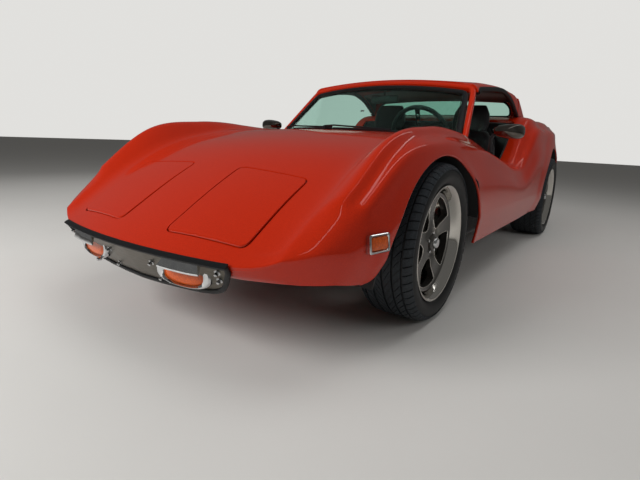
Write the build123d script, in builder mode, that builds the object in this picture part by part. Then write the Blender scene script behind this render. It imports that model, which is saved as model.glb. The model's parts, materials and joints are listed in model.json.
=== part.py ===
"""A two-seat, rear-engined kit car with a targa roof, as separate pieces.

X points forward, Y to the left and Z up. The origin is on the ground, midway between the axles.
Lengths are in millimetres.
"""
import os
from collections import namedtuple
from math import cos, radians, sin, tan

from build123d import *

os.makedirs("parts", exist_ok=True)

# Driving dimensions of the chassis
wheelbase = 2400
tyre_radius = 317
front_hub_y = 665
rear_hub_y = 698
front_tyre_width = 225
rear_tyre_width = 240
rim_radius = 216
rim_flange = 17
gap = 0.3
front_axle_x = wheelbase / 2
rear_axle_x = -wheelbase / 2

# Driving dimensions of the body
nose_overhang = 885
tail_overhang = 886
skin = 14
nose_x = front_axle_x + nose_overhang
tail_x = rear_axle_x - tail_overhang
cowl_x = front_axle_x - 430
quarter_x = rear_axle_x + 640
front_arch_radius = 485
front_arch_x = front_axle_x + 15
front_arch_z = 180
rear_arch_radius = 430
rear_arch_z = 285
arch_depth = 450
body_open_drop = 200
front_liner_y = 372
rear_liner_y = 478
arch_outer_y = 900
liner_bottom_z = 250
liner_top_z = 900
opening_low_z = 620
fork_height = 50
torsion_z = 317
plate_hole_radius = 3.5
exhaust_tip_x = -2113
tail_flat = 650
tail_corner = 170
lip_z = 345

# Driving dimensions of the lamp covers in the nose
cover_inner_y = 130
cover_outer_y = 448
cover_rear_x = front_axle_x + 470
cover_front_x = front_axle_x + 808
cover_front_outer_x = front_axle_x + 770
cover_gap = 5
cover_thickness = 9
cover_raise = 7
bay_wall = 12
bay_depth = 150

# Driving dimensions of the cabin
cabin_half = 604
floor_z = 205
wall = 12
bulkhead_x = quarter_x - 60
toe_board_x = front_axle_x - 480
tunnel_half = 85
tunnel_height = 190

# Driving dimensions of the roof
screen_base_x = cowl_x
scuttle_rear_x = front_axle_x - 690
scuttle_low_z = 640
scuttle_thickness = 22
screen_base_z = 745
screen_corner_x = front_axle_x - 645
screen_corner_y = 612
header_x = front_axle_x - 925
header_z = 1064
header_corner_x = front_axle_x - 950
header_corner_y = 541
header_corner_z = 1022
roof_split_x = front_axle_x - 1420
roof_skin = 24
window_z = 920
rear_window_x = rear_axle_x + 550

# Each section of the lower body gives the height of the centreline, then half-widths and heights of
# the valley beside the wing, the wing's crest, its shoulder, the widest line, the fold and the sill.
Section = namedtuple(
    "Section",
    "axle offset centre_z valley_y valley_z crest_y crest_z shoulder_y shoulder_z"
    " waist_y waist_z fold_y fold_z sill_y sill_z",
)
FRONT = front_axle_x
REAR = rear_axle_x
FRONT_SECTIONS = [
    Section(FRONT, 960, 300, 540, 240, 605, 225, 640, 212, 655, 190, 652, 175, 640, 160),
    Section(FRONT, 785, 409, 540, 354, 612, 345, 655, 325, 675, 295, 672, 260, 655, 238),
    Section(FRONT, 560, 541, 560, 502, 655, 538, 718, 490, 745, 410, 742, 330, 722, 256),
    Section(FRONT, 350, 640, 562, 610, 660, 690, 738, 632, 772, 500, 770, 380, 745, 250),
    Section(FRONT, 0, 725, 565, 700, 662, 762, 750, 700, 785, 570, 786, 380, 760, 242),
    Section(FRONT, -430, 755, 570, 740, 668, 748, 748, 690, 792, 540, 790, 378, 762, 240),
]
SIDE_SECTIONS = [
    Section(FRONT, -430, 755, 570, 740, 668, 748, 748, 690, 792, 540, 790, 378, 762, 240),
    Section(FRONT, -650, 752, 572, 740, 645, 734, 742, 680, 794, 530, 791, 377, 763, 240),
    Section(FRONT, -1000, 672, 572, 660, 670, 656, 748, 622, 797, 500, 793, 375, 765, 240),
    Section(FRONT, -1290, 605, 570, 590, 690, 598, 752, 576, 800, 470, 796, 372, 766, 240),
    Section(REAR, 960, 612, 570, 600, 690, 606, 753, 580, 801, 480, 797, 370, 767, 240),
    Section(REAR, 800, 720, 565, 710, 690, 722, 756, 672, 803, 540, 798, 362, 770, 243),
    Section(REAR, 640, 888, 560, 880, 690, 868, 764, 800, 806, 620, 800, 350, 772, 246),
]
REAR_SECTIONS = [
    Section(REAR, 640, 888, 560, 880, 690, 868, 764, 800, 806, 620, 800, 350, 772, 246),
    Section(REAR, 300, 910, 548, 894, 700, 904, 772, 830, 812, 640, 808, 340, 782, 254),
    Section(REAR, 0, 908, 540, 895, 700, 912, 778, 840, 815, 640, 812, 330, 790, 262),
    Section(REAR, -500, 875, 530, 862, 692, 893, 765, 825, 800, 640, 795, 390, 765, 310),
    Section(REAR, -900, 838, 520, 832, 680, 843, 738, 780, 765, 640, 760, 460, 730, 380),
]
crest_hollow = 0.05
crest_round = 0.16
shoulder_round = 0.06


def save(context, label):
    """Label a finished piece and write it to its own file."""
    context.part.label = label
    export_step(context.part, f"parts/{label}.step")


def bulged(start, end, share):
    """Middle point of an arc that stands off its chord by a share of the chord's length."""
    mid_y = (start[0] + end[0]) / 2 + share * (start[1] - end[1])
    mid_z = (start[1] + end[1]) / 2 - share * (start[0] - end[0])
    return (mid_y, mid_z)


def cross_plane(x):
    """Plane across the car at X, with Y to its right and Z up."""
    return Plane(origin=(x, 0, 0), x_dir=(0, 1, 0), z_dir=(1, 0, 0))


def side_plane(y):
    """Plane along the car at Y, with X to its right and Z up."""
    return Plane(origin=(0, y, 0), x_dir=(1, 0, 0), z_dir=(0, -1, 0))


def body_loft(rows, inset, drop, ruled):
    """Solid through sections, moved inwards by an inset, with its bottom lowered by a drop."""
    with BuildPart() as body:
        for row in rows:
            with BuildSketch(cross_plane(row.axle + row.offset)):
                top = (0, row.centre_z - inset)
                valley = (row.valley_y, row.valley_z - inset)
                crest = (row.crest_y - 0.4 * inset, row.crest_z - inset)
                shoulder = (row.shoulder_y - inset, row.shoulder_z - 0.4 * inset)
                waist = (row.waist_y - inset, row.waist_z)
                fold = (row.fold_y - inset, row.fold_z)
                sill = (row.sill_y - inset, row.sill_z - drop)
                with BuildLine():
                    ThreePointArc((-valley[0], valley[1]), top, valley)
                    ThreePointArc(valley, bulged(valley, crest, crest_hollow), crest)
                    ThreePointArc(crest, bulged(crest, shoulder, -crest_round), shoulder)
                    ThreePointArc(shoulder, bulged(shoulder, waist, -shoulder_round), waist)
                    Polyline(waist, fold, sill)
                    Line(sill, (-sill[0], sill[1]))
                    Polyline((-sill[0], sill[1]), (-fold[0], fold[1]), (-waist[0], waist[1]))
                    for a, b, share in [
                        (waist, shoulder, -shoulder_round),
                        (shoulder, crest, -crest_round),
                        (crest, valley, crest_hollow),
                    ]:
                        middle = bulged(b, a, share)
                        ThreePointArc((-a[0], a[1]), (-middle[0], middle[1]), (-b[0], b[1]))
                make_face()
        loft(ruled=ruled)
    return body.part


def plan_outline(inset):
    """Plan of the body with its bowed nose and rounded corners, moved inwards by an inset."""
    front = nose_x - inset
    rear = tail_x + inset
    half = 840 - inset
    with BuildSketch(Plane.XY) as plan:
        with BuildLine():
            bow = ThreePointArc((front - 37, -400), (front, 0), (front - 37, 400))
            left = ThreePointArc((front - 37, 400), (front - 100, 522), (front - 205, 700 - inset))
            Polyline(left @ 1, (front - 420, half), (rear + tail_corner, half), (rear, tail_flat - inset))
            Line((rear, tail_flat - inset), (rear, inset - tail_flat))
            Polyline(
                (rear, inset - tail_flat), (rear + tail_corner, -half), (front - 420, -half),
                (front - 205, inset - 700),
            )
            ThreePointArc((front - 205, inset - 700), (front - 100, -522), (front - 37, -400))
        make_face()
    return plan.sketch


def arch_cut(x, z, radius, y_inner):
    """Round wheel arch through both flanks, as two cylinders from an inner plane outwards."""
    with BuildPart() as cut:
        for side in (1, -1):
            with BuildSketch(side_plane(side * y_inner)):
                with Locations((x, z)):
                    Circle(radius)
            extrude(amount=-side * arch_depth)
    return cut.part


def cover_outline(grow):
    """Plan of the two lamp covers, grown by a margin on every side."""
    with BuildSketch(Plane.XY) as covers:
        for side in (1, -1):
            with BuildLine():
                Polyline(
                    (cover_rear_x - grow, side * (cover_inner_y - grow)),
                    (cover_front_x + grow, side * (cover_inner_y - grow)),
                    (cover_front_outer_x + grow, side * (cover_outer_y + grow)),
                    (cover_rear_x - grow, side * (cover_outer_y + grow)),
                    close=True,
                )
            make_face()
        fillet(covers.vertices(), 22 + grow)
    return covers.sketch


# The outer and inner forms of the body
front_outer = body_loft(FRONT_SECTIONS, 0, 0, False)
front_inner = body_loft(FRONT_SECTIONS, skin, body_open_drop, False)
rear_outer = body_loft(REAR_SECTIONS, 0, 0, False)
rear_inner = body_loft(REAR_SECTIONS, skin, body_open_drop, False)
side_outer = body_loft(SIDE_SECTIONS, 0, 0, True)

# Greenhouse: roof and pillars come from one tapered form, seen in plan at two heights
plan_low_z = 680
plan_high_z = 1110
screen_fall = (screen_base_x - header_x) / (header_z - screen_base_z)
corner_fall = (screen_corner_x - header_corner_x) / (header_corner_z - screen_base_z)
corner_lean = (screen_corner_y - header_corner_y) / (header_corner_z - screen_base_z)
tail_fall = 3.0
tail_lean = 0.34
sail_foot_x = rear_axle_x + 80
sail_foot_y = 604
sail_foot_z = 905
roof_crown = 44
roof_edge_y = 720
roof_floor_z = 500

# Station behind the header and height of the roof's centreline there
ROOF_LINE = [(200, 1026), (0, 1064), (-350, 1094), (-640, 1100), (-860, 1072), (-1130, 985), (-1400, 880)]


def roof_top(inset):
    """Crowned solid under the roof line."""
    with BuildPart() as top:
        for offset, height in ROOF_LINE:
            z = height - inset
            edge = z - roof_crown * (roof_edge_y / header_corner_y) ** 2
            with BuildSketch(cross_plane(header_x + offset)):
                with BuildLine():
                    ThreePointArc((-roof_edge_y, edge), (0, z), (roof_edge_y, edge))
                    Polyline(
                        (roof_edge_y, edge), (roof_edge_y, roof_floor_z),
                        (-roof_edge_y, roof_floor_z), (-roof_edge_y, edge),
                    )
                make_face()
        loft()
    return top.part


def greenhouse(inset):
    """Solid under the roof, with a bowed screen in front, moved inwards by an inset."""
    with BuildPart() as form:
        for z in (plan_low_z, plan_high_z):
            rise = z - screen_base_z
            front = screen_base_x - screen_fall * rise - 1.9 * inset
            corner_x = screen_corner_x - corner_fall * rise - 1.6 * inset
            corner_y = screen_corner_y - corner_lean * rise - inset
            foot_x = sail_foot_x + tail_fall * (z - sail_foot_z) + inset
            foot_y = sail_foot_y - tail_lean * (z - sail_foot_z) - inset
            with BuildSketch(Plane.XY.offset(z)):
                with BuildLine():
                    ThreePointArc((corner_x, -corner_y), (front, 0), (corner_x, corner_y))
                    Polyline((corner_x, corner_y), (foot_x, foot_y), (foot_x, -foot_y), (corner_x, -corner_y))
                make_face()
        loft()
        add(roof_top(inset), mode=Mode.INTERSECT)
    return form.part


cover_prism_top = 900
recess_depth = cover_thickness - cover_raise + gap
bay_front_x = cover_rear_x + 215
bay_rear_x = cover_rear_x + 20
bay_inner_y = cover_inner_y + 42
bay_outer_y = cover_outer_y - 42
bay_floor_z = 360
lamp_radius = 68
lamp_x = bay_rear_x + 75
lamp_y = (bay_inner_y + bay_outer_y) / 2
lamp_z = bay_floor_z + lamp_radius + 12


def bay_block(inset, floor):
    """Two upright blocks over the lamp bays, from a floor height upwards."""
    with BuildPart() as blocks:
        with BuildSketch(Plane.XY.offset(floor)):
            for side in (1, -1):
                with Locations(((bay_front_x + bay_rear_x) / 2, side * lamp_y)):
                    Rectangle(bay_front_x - bay_rear_x - 2 * inset, bay_outer_y - bay_inner_y - 2 * inset)
        extrude(amount=cover_prism_top)
    return blocks.part


# Front body: nose, wings and cowl in one moulding, open below
plate_half = 462
plate_top_z = lip_z - 10
plate_bottom_z = 250
plate_thickness = 4
plate_standoff = gap
with BuildPart() as front_body:
    add(front_outer)
    extrude(plan_outline(0), amount=1200, mode=Mode.INTERSECT)
    with BuildPart(mode=Mode.PRIVATE) as hollow:
        add(front_inner)
        extrude(plan_outline(skin), amount=1200, mode=Mode.INTERSECT)
    add(hollow.part, mode=Mode.SUBTRACT)
    add(arch_cut(front_arch_x, front_arch_z, front_arch_radius, front_liner_y), mode=Mode.SUBTRACT)
    with BuildPart(mode=Mode.PRIVATE) as recesses:
        extrude(cover_outline(cover_gap), amount=cover_prism_top)
        add(front_outer.moved(Location((0, 0, -recess_depth))), mode=Mode.SUBTRACT)
    add(recesses.part, mode=Mode.SUBTRACT)
    add(bay_block(0, bay_floor_z), mode=Mode.SUBTRACT)
    with BuildPart(mode=Mode.PRIVATE) as scuttle:
        add(side_outer)
        add(side_outer.moved(Location((0, 0, -scuttle_thickness))), mode=Mode.SUBTRACT)
        with BuildSketch(Plane.XY.offset(scuttle_low_z)):
            with Locations(((scuttle_rear_x + cowl_x) / 2, 0)):
                Rectangle(cowl_x - scuttle_rear_x, 2 * (cabin_half + gap))
        extrude(amount=400, mode=Mode.INTERSECT)
        add(greenhouse(roof_skin), mode=Mode.SUBTRACT)
    add(scuttle.part)
save(front_body, "front_body")

# Lamp bays: open-topped boxes under the flange that the covers rest on
with BuildPart() as lamp_bays:
    add(bay_block(-bay_wall, bay_floor_z - bay_wall))
    add(front_inner.moved(Location((0, 0, -gap))), mode=Mode.INTERSECT)
    add(bay_block(0, bay_floor_z), mode=Mode.SUBTRACT)
save(lamp_bays, "lamp_bays")

# Lamp covers: raised panels hinged at their rear edges
cover_solids = {}
for label, side in (("cover_left", 1), ("cover_right", -1)):
    with BuildPart() as cover:
        add(front_outer.moved(Location((0, 0, cover_raise))))
        with BuildSketch(Plane.XY):
            add(cover_outline(0).faces().sort_by(Axis.Y)[-1 if side > 0 else 0])
        extrude(amount=cover_prism_top, mode=Mode.INTERSECT)
        add(front_outer.moved(Location((0, 0, cover_raise - cover_thickness))), mode=Mode.SUBTRACT)
    save(cover, label)

# Headlamps: round bowls with domed lenses on the rear wall of each bay
with BuildPart() as headlamps:
    for side in (1, -1):
        with BuildSketch(cross_plane(bay_rear_x + gap)):
            with Locations((side * lamp_y, lamp_z)):
                Circle(lamp_radius - 22)
        extrude(amount=40)
        with BuildSketch(cross_plane(bay_rear_x + gap + 40)):
            with Locations((side * lamp_y, lamp_z)):
                Circle(lamp_radius)
        extrude(amount=34)
        with BuildSketch(cross_plane(bay_rear_x + gap + 74)):
            with Locations((side * lamp_y, lamp_z)):
                Circle(lamp_radius - 6)
        extrude(amount=12, taper=35)
save(headlamps, "headlamps")

# Side panels: flank, sill and the ledge that the crew steps over
with BuildPart() as side_panels:
    add(side_outer)
    with BuildSketch(Plane.XY):
        Rectangle(2 * wheelbase, 2 * (cabin_half + gap))
    extrude(amount=1200, mode=Mode.SUBTRACT)
    add(arch_cut(front_arch_x, front_arch_z, front_arch_radius, front_liner_y), mode=Mode.SUBTRACT)
save(side_panels, "side_panels")

# Rear body: haunches, deck and tail, open below and under the engine lid
lid_front_x = rear_window_x - 60
lid_rear_x = tail_x + 240
lid_half_front = 440
lid_half_rear = 470
lid_gap = 5
lid_thickness = 12
lid_flange = 20


def lid_outline(grow):
    """Plan of the engine lid, grown by a margin."""
    with BuildSketch(Plane.XY) as lid:
        with BuildLine():
            Polyline(
                (lid_front_x + grow, -lid_half_front - grow),
                (lid_front_x + grow, lid_half_front + grow),
                (lid_rear_x - grow, lid_half_rear + grow),
                (lid_rear_x - grow, -lid_half_rear - grow),
                close=True,
            )
        make_face()
        fillet(lid.vertices(), 40 + grow)
    return lid.sketch


tail_lamp_radius = 50
tail_lamp_z = 655
tail_lamp_ys = (430, 570)
tail_panel_depth = 30
with BuildPart() as rear_body:
    add(rear_outer)
    extrude(plan_outline(0), amount=1200, mode=Mode.INTERSECT)
    with BuildPart(mode=Mode.PRIVATE) as hollow:
        add(rear_inner)
        extrude(plan_outline(skin), amount=1200, mode=Mode.INTERSECT)
    add(hollow.part, mode=Mode.SUBTRACT)
    add(arch_cut(rear_axle_x, rear_arch_z, rear_arch_radius, rear_liner_y), mode=Mode.SUBTRACT)
    extrude(lid_outline(-lid_flange), amount=1200, mode=Mode.SUBTRACT)
    with BuildPart(mode=Mode.PRIVATE) as recess:
        extrude(lid_outline(lid_gap), amount=1200)
        add(rear_outer.moved(Location((0, 0, -lid_thickness / 2 - gap))), mode=Mode.SUBTRACT)
    add(recess.part, mode=Mode.SUBTRACT)
save(rear_body, "rear_body")

# Engine lid: hinged along its front edge, with a row of cooling louvres
with BuildPart() as engine_lid:
    add(rear_outer.moved(Location((0, 0, lid_thickness / 2))))
    extrude(lid_outline(0), amount=1200, mode=Mode.INTERSECT)
    add(rear_outer.moved(Location((0, 0, -lid_thickness / 2))), mode=Mode.SUBTRACT)
    with BuildSketch(Plane.XY):
        with GridLocations(46, 0, 8, 1):
            with Locations((lid_front_x - 420, 0)):
                SlotOverall(420, 18, rotation=90)
    extrude(amount=1200, mode=Mode.SUBTRACT)
save(engine_lid, "engine_lid")

# Wheel houses: arched liners that close the body round each wheel
liner = 6
with BuildPart() as wheel_houses:
    for x, z, radius, inner_y in (
        (front_arch_x, front_arch_z, front_arch_radius, front_liner_y),
        (rear_axle_x, rear_arch_z, rear_arch_radius, rear_liner_y),
    ):
        for side in (1, -1):
            with BuildSketch(side_plane(side * inner_y)):
                with Locations((x, z)):
                    Circle(radius + liner)
            extrude(amount=-side * arch_depth * 1.5)
            with BuildSketch(side_plane(side * (inner_y + liner))):
                with Locations((x, z)):
                    Circle(radius)
            extrude(amount=-side * arch_depth * 1.5, mode=Mode.SUBTRACT)
    with BuildPart(mode=Mode.PRIVATE) as inside:
        for rows in (FRONT_SECTIONS, REAR_SECTIONS):
            add(body_loft(rows, skin + gap, body_open_drop, False))
        with BuildSketch(Plane.XY):
            Rectangle(2 * wheelbase, 2 * arch_outer_y)
        extrude(amount=liner_top_z, mode=Mode.INTERSECT)
    add(inside.part, mode=Mode.INTERSECT)
    for x, width, top in ((front_axle_x + 60, 190, 430), (rear_axle_x, 120, 400)):
        with BuildSketch(Plane.XY):
            with Locations((x, 0)):
                Rectangle(width, 2 * (rear_liner_y + 20))
        extrude(amount=top, mode=Mode.SUBTRACT)
    with BuildSketch(Plane.XY):
        Rectangle(2 * wheelbase, 2 * arch_outer_y)
    extrude(amount=liner_bottom_z, mode=Mode.SUBTRACT)
    with BuildSketch(Plane.XY):
        with Locations(((cowl_x + quarter_x) / 2, 0)):
            Rectangle(cowl_x - quarter_x, 2 * arch_outer_y)
    extrude(amount=900, mode=Mode.SUBTRACT)
save(wheel_houses, "wheel_houses")


def side_opening():
    """Door and window opening through both flanks of the roof, seen from the side."""
    crown = (header_x - 395, 1040)
    foot = (quarter_x, 905)
    with BuildPart() as cut:
        with BuildSketch(side_plane(900)):
            with BuildLine():
                Polyline(
                    crown, (header_corner_x - 60, header_corner_z - 12), (screen_corner_x - 62, opening_low_z),
                    (quarter_x, opening_low_z), foot,
                )
                ThreePointArc(foot, (quarter_x + 185, 983), crown)
            make_face()
        extrude(amount=1800)
    return cut.part


def screen_prism(grow):
    """Windscreen aperture, seen from the front, grown by a margin."""
    low = (screen_corner_y - 40 + grow, screen_base_z + 24 - grow)
    high = (header_corner_y - 38 + grow, header_corner_z - 30 + grow)
    with BuildPart() as prism:
        with BuildSketch(cross_plane(0)) as front_view:
            with BuildLine():
                ThreePointArc((-high[0], high[1]), (0, header_z - 30 + grow), high)
                Polyline(high, low, (-low[0], low[1]), (-high[0], high[1]))
            make_face()
            fillet(front_view.vertices(), 22 + grow)
        extrude(amount=wheelbase)
    return prism.part


def slice_between(front, rear):
    """Tall block across the car between two stations."""
    with BuildPart() as block:
        with BuildSketch(Plane.XY):
            with Locations(((front + rear) / 2, 0)):
                Rectangle(front - rear, 2000)
        extrude(amount=1400)
    return block.part


roof_outer = greenhouse(0)
roof_inner = greenhouse(roof_skin)
with BuildPart() as body_below:
    for form in (front_outer, side_outer, rear_outer):
        add(form.moved(Location((0, 0, gap))))
with BuildPart() as roof_shell:
    add(roof_outer)
    add(roof_inner, mode=Mode.SUBTRACT)
    add(side_opening(), mode=Mode.SUBTRACT)
    add(body_below.part, mode=Mode.SUBTRACT)
frame_rear_x = header_x - 42

# Windscreen frame: pillars and header in one hoop
with BuildPart() as windscreen_frame:
    add(roof_shell.part)
    add(slice_between(screen_base_x + 200, frame_rear_x), mode=Mode.INTERSECT)
    add(screen_prism(0), mode=Mode.SUBTRACT)
save(windscreen_frame, "windscreen_frame")

glass_inset = 8
glass_thickness = 6
with BuildPart() as windscreen_glass:
    add(greenhouse(glass_inset))
    add(greenhouse(glass_inset + glass_thickness), mode=Mode.SUBTRACT)
    add(screen_prism(-gap), mode=Mode.INTERSECT)
    add(slice_between(screen_base_x + 200, header_x - 60), mode=Mode.INTERSECT)
    add(body_below.part, mode=Mode.SUBTRACT)
save(windscreen_glass, "windscreen_glass")

# Roof panel: the lift-out centre between the header and the hoop
with BuildPart() as roof_panel:
    add(roof_shell.part)
    add(slice_between(frame_rear_x - gap, roof_split_x + gap), mode=Mode.INTERSECT)
save(roof_panel, "roof_panel")

# Roof hoop: the bar behind the seats, its rear window wall and the sails that run back to the deck
sail_thickness = 118
window_half = 440
window_low_z = 922
window_mid_z = 985
with BuildPart() as roof_hoop:
    add(roof_outer)
    add(slice_between(roof_split_x, tail_x), mode=Mode.INTERSECT)
    with BuildPart(mode=Mode.PRIVATE) as room:
        add(roof_inner)
        add(slice_between(roof_split_x + 10, rear_window_x + roof_skin), mode=Mode.INTERSECT)
    add(room.part, mode=Mode.SUBTRACT)
    with BuildSketch(Plane.XY):
        with Locations(((rear_window_x + tail_x) / 2, 0)):
            Rectangle(rear_window_x - tail_x, 2 * (sail_foot_y - sail_thickness))
    extrude(amount=1400, mode=Mode.SUBTRACT)
    with BuildSketch(cross_plane(rear_window_x - 50)):
        with Locations((0, window_mid_z)):
            RectangleRounded(2 * window_half, 2 * (window_mid_z - window_low_z), 24)
    extrude(amount=140, mode=Mode.SUBTRACT)
    add(side_opening(), mode=Mode.SUBTRACT)
    add(body_below.part, mode=Mode.SUBTRACT)
save(roof_hoop, "roof_hoop")

with BuildPart() as rear_window:
    with BuildSketch(cross_plane(rear_window_x + 8)):
        with Locations((0, window_mid_z)):
            RectangleRounded(2 * (window_half - gap), 2 * (window_mid_z - window_low_z - gap), 24 - gap)
    extrude(amount=glass_thickness)
save(rear_window, "rear_window")

# Floor pan: pressed floor with the backbone tunnel, the frame head and the rear fork
pan_thickness = 8
pan_front_x = toe_board_x - 6
beam_x = front_axle_x + 95
beam_tube_radius = 22
tunnel_front_x = beam_x - beam_tube_radius - gap
fork_rear_x = rear_axle_x - 60
fork_z = 200
with BuildPart() as floor_pan:
    with BuildSketch(Plane.XY.offset(floor_z - pan_thickness)):
        with Locations(((pan_front_x + bulkhead_x) / 2, 0)):
            Rectangle(pan_front_x - bulkhead_x, 2 * cabin_half)
    extrude(amount=pan_thickness)
    with BuildSketch(Plane.XY.offset(floor_z - pan_thickness)):
        with Locations(((tunnel_front_x + bulkhead_x - 30) / 2, 0)):
            Rectangle(tunnel_front_x - bulkhead_x + 30, 2 * tunnel_half)
    extrude(amount=tunnel_height)
    fork = ((bulkhead_x + 10, 50), (fork_rear_x, 205), (fork_rear_x, 255), (bulkhead_x - 30, 110))
    for side in (1, -1):
        with BuildSketch(Plane.XY.offset(fork_z)):
            with BuildLine():
                Polyline(*[(x, side * y) for x, y in fork], close=True)
            make_face()
        extrude(amount=fork_height)
save(floor_pan, "floor_pan")

# Cabin tub: side walls, toe board, rear bulkhead and parcel shelf, all carpeted
with BuildPart() as cabin_tub:
    tub_base = floor_z + gap
    with BuildSketch(side_plane(cabin_half)):
        with BuildLine():
            Polyline(
                (bulkhead_x, tub_base), (toe_board_x, tub_base), (toe_board_x, 640),
                (front_axle_x - 1000, 610), (front_axle_x - 1300, 560), (quarter_x + 160, 620),
                (quarter_x + 6, 800), (quarter_x + 6, 860), (bulkhead_x, 860), close=True,
            )
        make_face()
    extrude(amount=2 * cabin_half)
    with BuildSketch(side_plane(cabin_half - wall)):
        with BuildLine():
            Polyline(
                (bulkhead_x + wall, tub_base - 1), (toe_board_x - wall, tub_base - 1),
                (toe_board_x - wall, 1200), (bulkhead_x + wall, 1200), close=True,
            )
        make_face()
    extrude(amount=2 * (cabin_half - wall), mode=Mode.SUBTRACT)
    with BuildSketch(cross_plane(toe_board_x - wall - 1)):
        with Locations((0, tub_base)):
            Rectangle(2 * tunnel_half + 2 * gap, 2 * (tunnel_height - pan_thickness + gap))
    extrude(amount=200, mode=Mode.SUBTRACT)
    with BuildSketch(cross_plane(bulkhead_x - 1)):
        with Locations((0, tub_base)):
            Rectangle(2 * tunnel_half + 2 * gap, 2 * (tunnel_height - pan_thickness + gap))
    extrude(amount=wall + 2, mode=Mode.SUBTRACT)
save(cabin_tub, "cabin_tub")

# Dashboard: padded shelf with an instrument hood in front of the driver
dash_front_x = toe_board_x - wall - gap
dash_rear_x = front_axle_x - 700
dash_half = cabin_half - wall - gap
driver_y = 300
hood_half = 165
with BuildPart() as dashboard:
    with BuildSketch(side_plane(dash_half)):
        with BuildLine():
            Polyline(
                (dash_front_x, 520), (dash_front_x, 690), (dash_rear_x + 30, 684), (dash_rear_x, 660),
                (dash_rear_x + 20, 540), (dash_rear_x + 60, 520), close=True,
            )
        make_face()
    extrude(amount=2 * dash_half)
    with BuildSketch(cross_plane(dash_rear_x - 20)):
        with BuildLine():
            left, right = driver_y + hood_half, driver_y - hood_half
            Polyline((left - 40, 698), (left, 676), (left, 640), (right, 640), (right, 676), (right + 40, 698))
            ThreePointArc((right + 40, 698), (driver_y, 711), (left - 40, 698))
        make_face()
    extrude(amount=170)
save(dashboard, "dashboard")

# Steering column and wheel
wheel_hub = (front_axle_x - 880, driver_y - 35, 745)
column_rake = 24
wheel_radius = 187
grip_radius = 12
boss_drop = 60
column_axis = (-cos(radians(column_rake)), 0, sin(radians(column_rake)))
wheel_plane = Plane(origin=wheel_hub, x_dir=(0, 1, 0), z_dir=column_axis)
with BuildPart() as steering_column:
    with BuildSketch(wheel_plane.offset(-boss_drop)):
        Circle(30)
    extrude(amount=-90)
    with BuildSketch(wheel_plane.offset(-boss_drop)):
        Circle(20)
    extrude(amount=-190)
    add(dashboard.part, mode=Mode.SUBTRACT)
save(steering_column, "steering_column")

with BuildPart() as steering_wheel:
    with BuildSketch(Plane(origin=wheel_hub, x_dir=column_axis, z_dir=(0, -1, 0))):
        with Locations((0, wheel_radius - grip_radius)):
            Circle(grip_radius)
    revolve(axis=Axis(wheel_hub, column_axis))
    with BuildSketch(wheel_plane.offset(-8)):
        with PolarLocations((wheel_radius - grip_radius) / 2, 3, start_angle=90):
            Rectangle(wheel_radius - grip_radius, 26)
    extrude(amount=6)
    with BuildSketch(wheel_plane.offset(gap - boss_drop)):
        Circle(22)
    extrude(amount=boss_drop)
    with BuildSketch(wheel_plane.offset(-8)):
        Circle(36)
    extrude(amount=22, taper=10)
save(steering_wheel, "steering_wheel")

# Seats: high-backed buckets with a head pad
seat_y = 325
seat_half = 232
with BuildPart() as seats:
    for side in (1, -1):
        with BuildSketch(side_plane(side * seat_y + seat_half)) as seat_side:
            with BuildLine():
                Polyline(
                    (110, floor_z + gap), (150, 290), (130, 340), (-185, 300), (-395, 800), (-465, 815),
                    (-500, 790), (-335, floor_z + gap), close=True,
                )
            make_face()
        extrude(amount=2 * seat_half)
        with BuildSketch(side_plane(side * seat_y + 0.6 * seat_half)):
            with BuildLine():
                Polyline((-380, 780), (-430, 985), (-470, 998), (-510, 985), (-480, 780), close=True)
            make_face()
        extrude(amount=1.2 * seat_half)
save(seats, "seats")

# Gear lever on the tunnel, with the handbrake behind it
tunnel_top_z = floor_z - pan_thickness + tunnel_height
with BuildPart() as gear_lever:
    with BuildSketch(Plane.XY.offset(tunnel_top_z + gap)):
        with Locations((150, 0)):
            Circle(45)
    extrude(amount=50, taper=28)
    with BuildSketch(Plane.XY.offset(tunnel_top_z + 10)):
        with Locations((150, 0)):
            Circle(7)
    extrude(amount=200)
    with Locations((150, 0, tunnel_top_z + 225)):
        Sphere(24)
    with BuildSketch(side_plane(-34)):
        with BuildLine():
            Polyline(
                (60, tunnel_top_z + gap), (60, tunnel_top_z + 30), (-190, tunnel_top_z + 80),
                (-190, tunnel_top_z + 55), (-10, tunnel_top_z + gap), close=True,
            )
        make_face()
    extrude(amount=26)
save(gear_lever, "gear_lever")

# Interior mirror on a stalk from the header
with BuildPart() as interior_mirror:
    with BuildSketch(cross_plane(header_x - 75)):
        with Locations((-45, 968)):
            RectangleRounded(190, 45, 14)
    extrude(amount=22)
    with BuildSketch(Plane.XY.offset(975)):
        with Locations((header_x - 62, -45)):
            Circle(6)
    extrude(amount=200)
    add(roof_shell.part, mode=Mode.SUBTRACT)
interior_mirror.part = interior_mirror.part.solids().sort_by(SortBy.VOLUME)[-1]
save(interior_mirror, "interior_mirror")

# Door mirrors: streamlined shells on stalks from the body sides
mirror_x = front_axle_x - 770
mirror_y = 812
mirror_z = 795
with BuildPart() as door_mirrors:
    for side in (1, -1):
        for offset, height, width in ((0, 70, 190),):
            with BuildSketch(cross_plane(mirror_x - 45)):
                with Locations((side * mirror_y, mirror_z)):
                    RectangleRounded(width, height, 26)
            extrude(amount=90, taper=14)
        with BuildSketch(Plane.XY.offset(600)):
            with Locations((mirror_x - 10, side * (mirror_y - 72))):
                Circle(11)
        extrude(amount=mirror_z - 600)
    add(body_below.part, mode=Mode.SUBTRACT)
save(door_mirrors, "door_mirrors")

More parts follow.
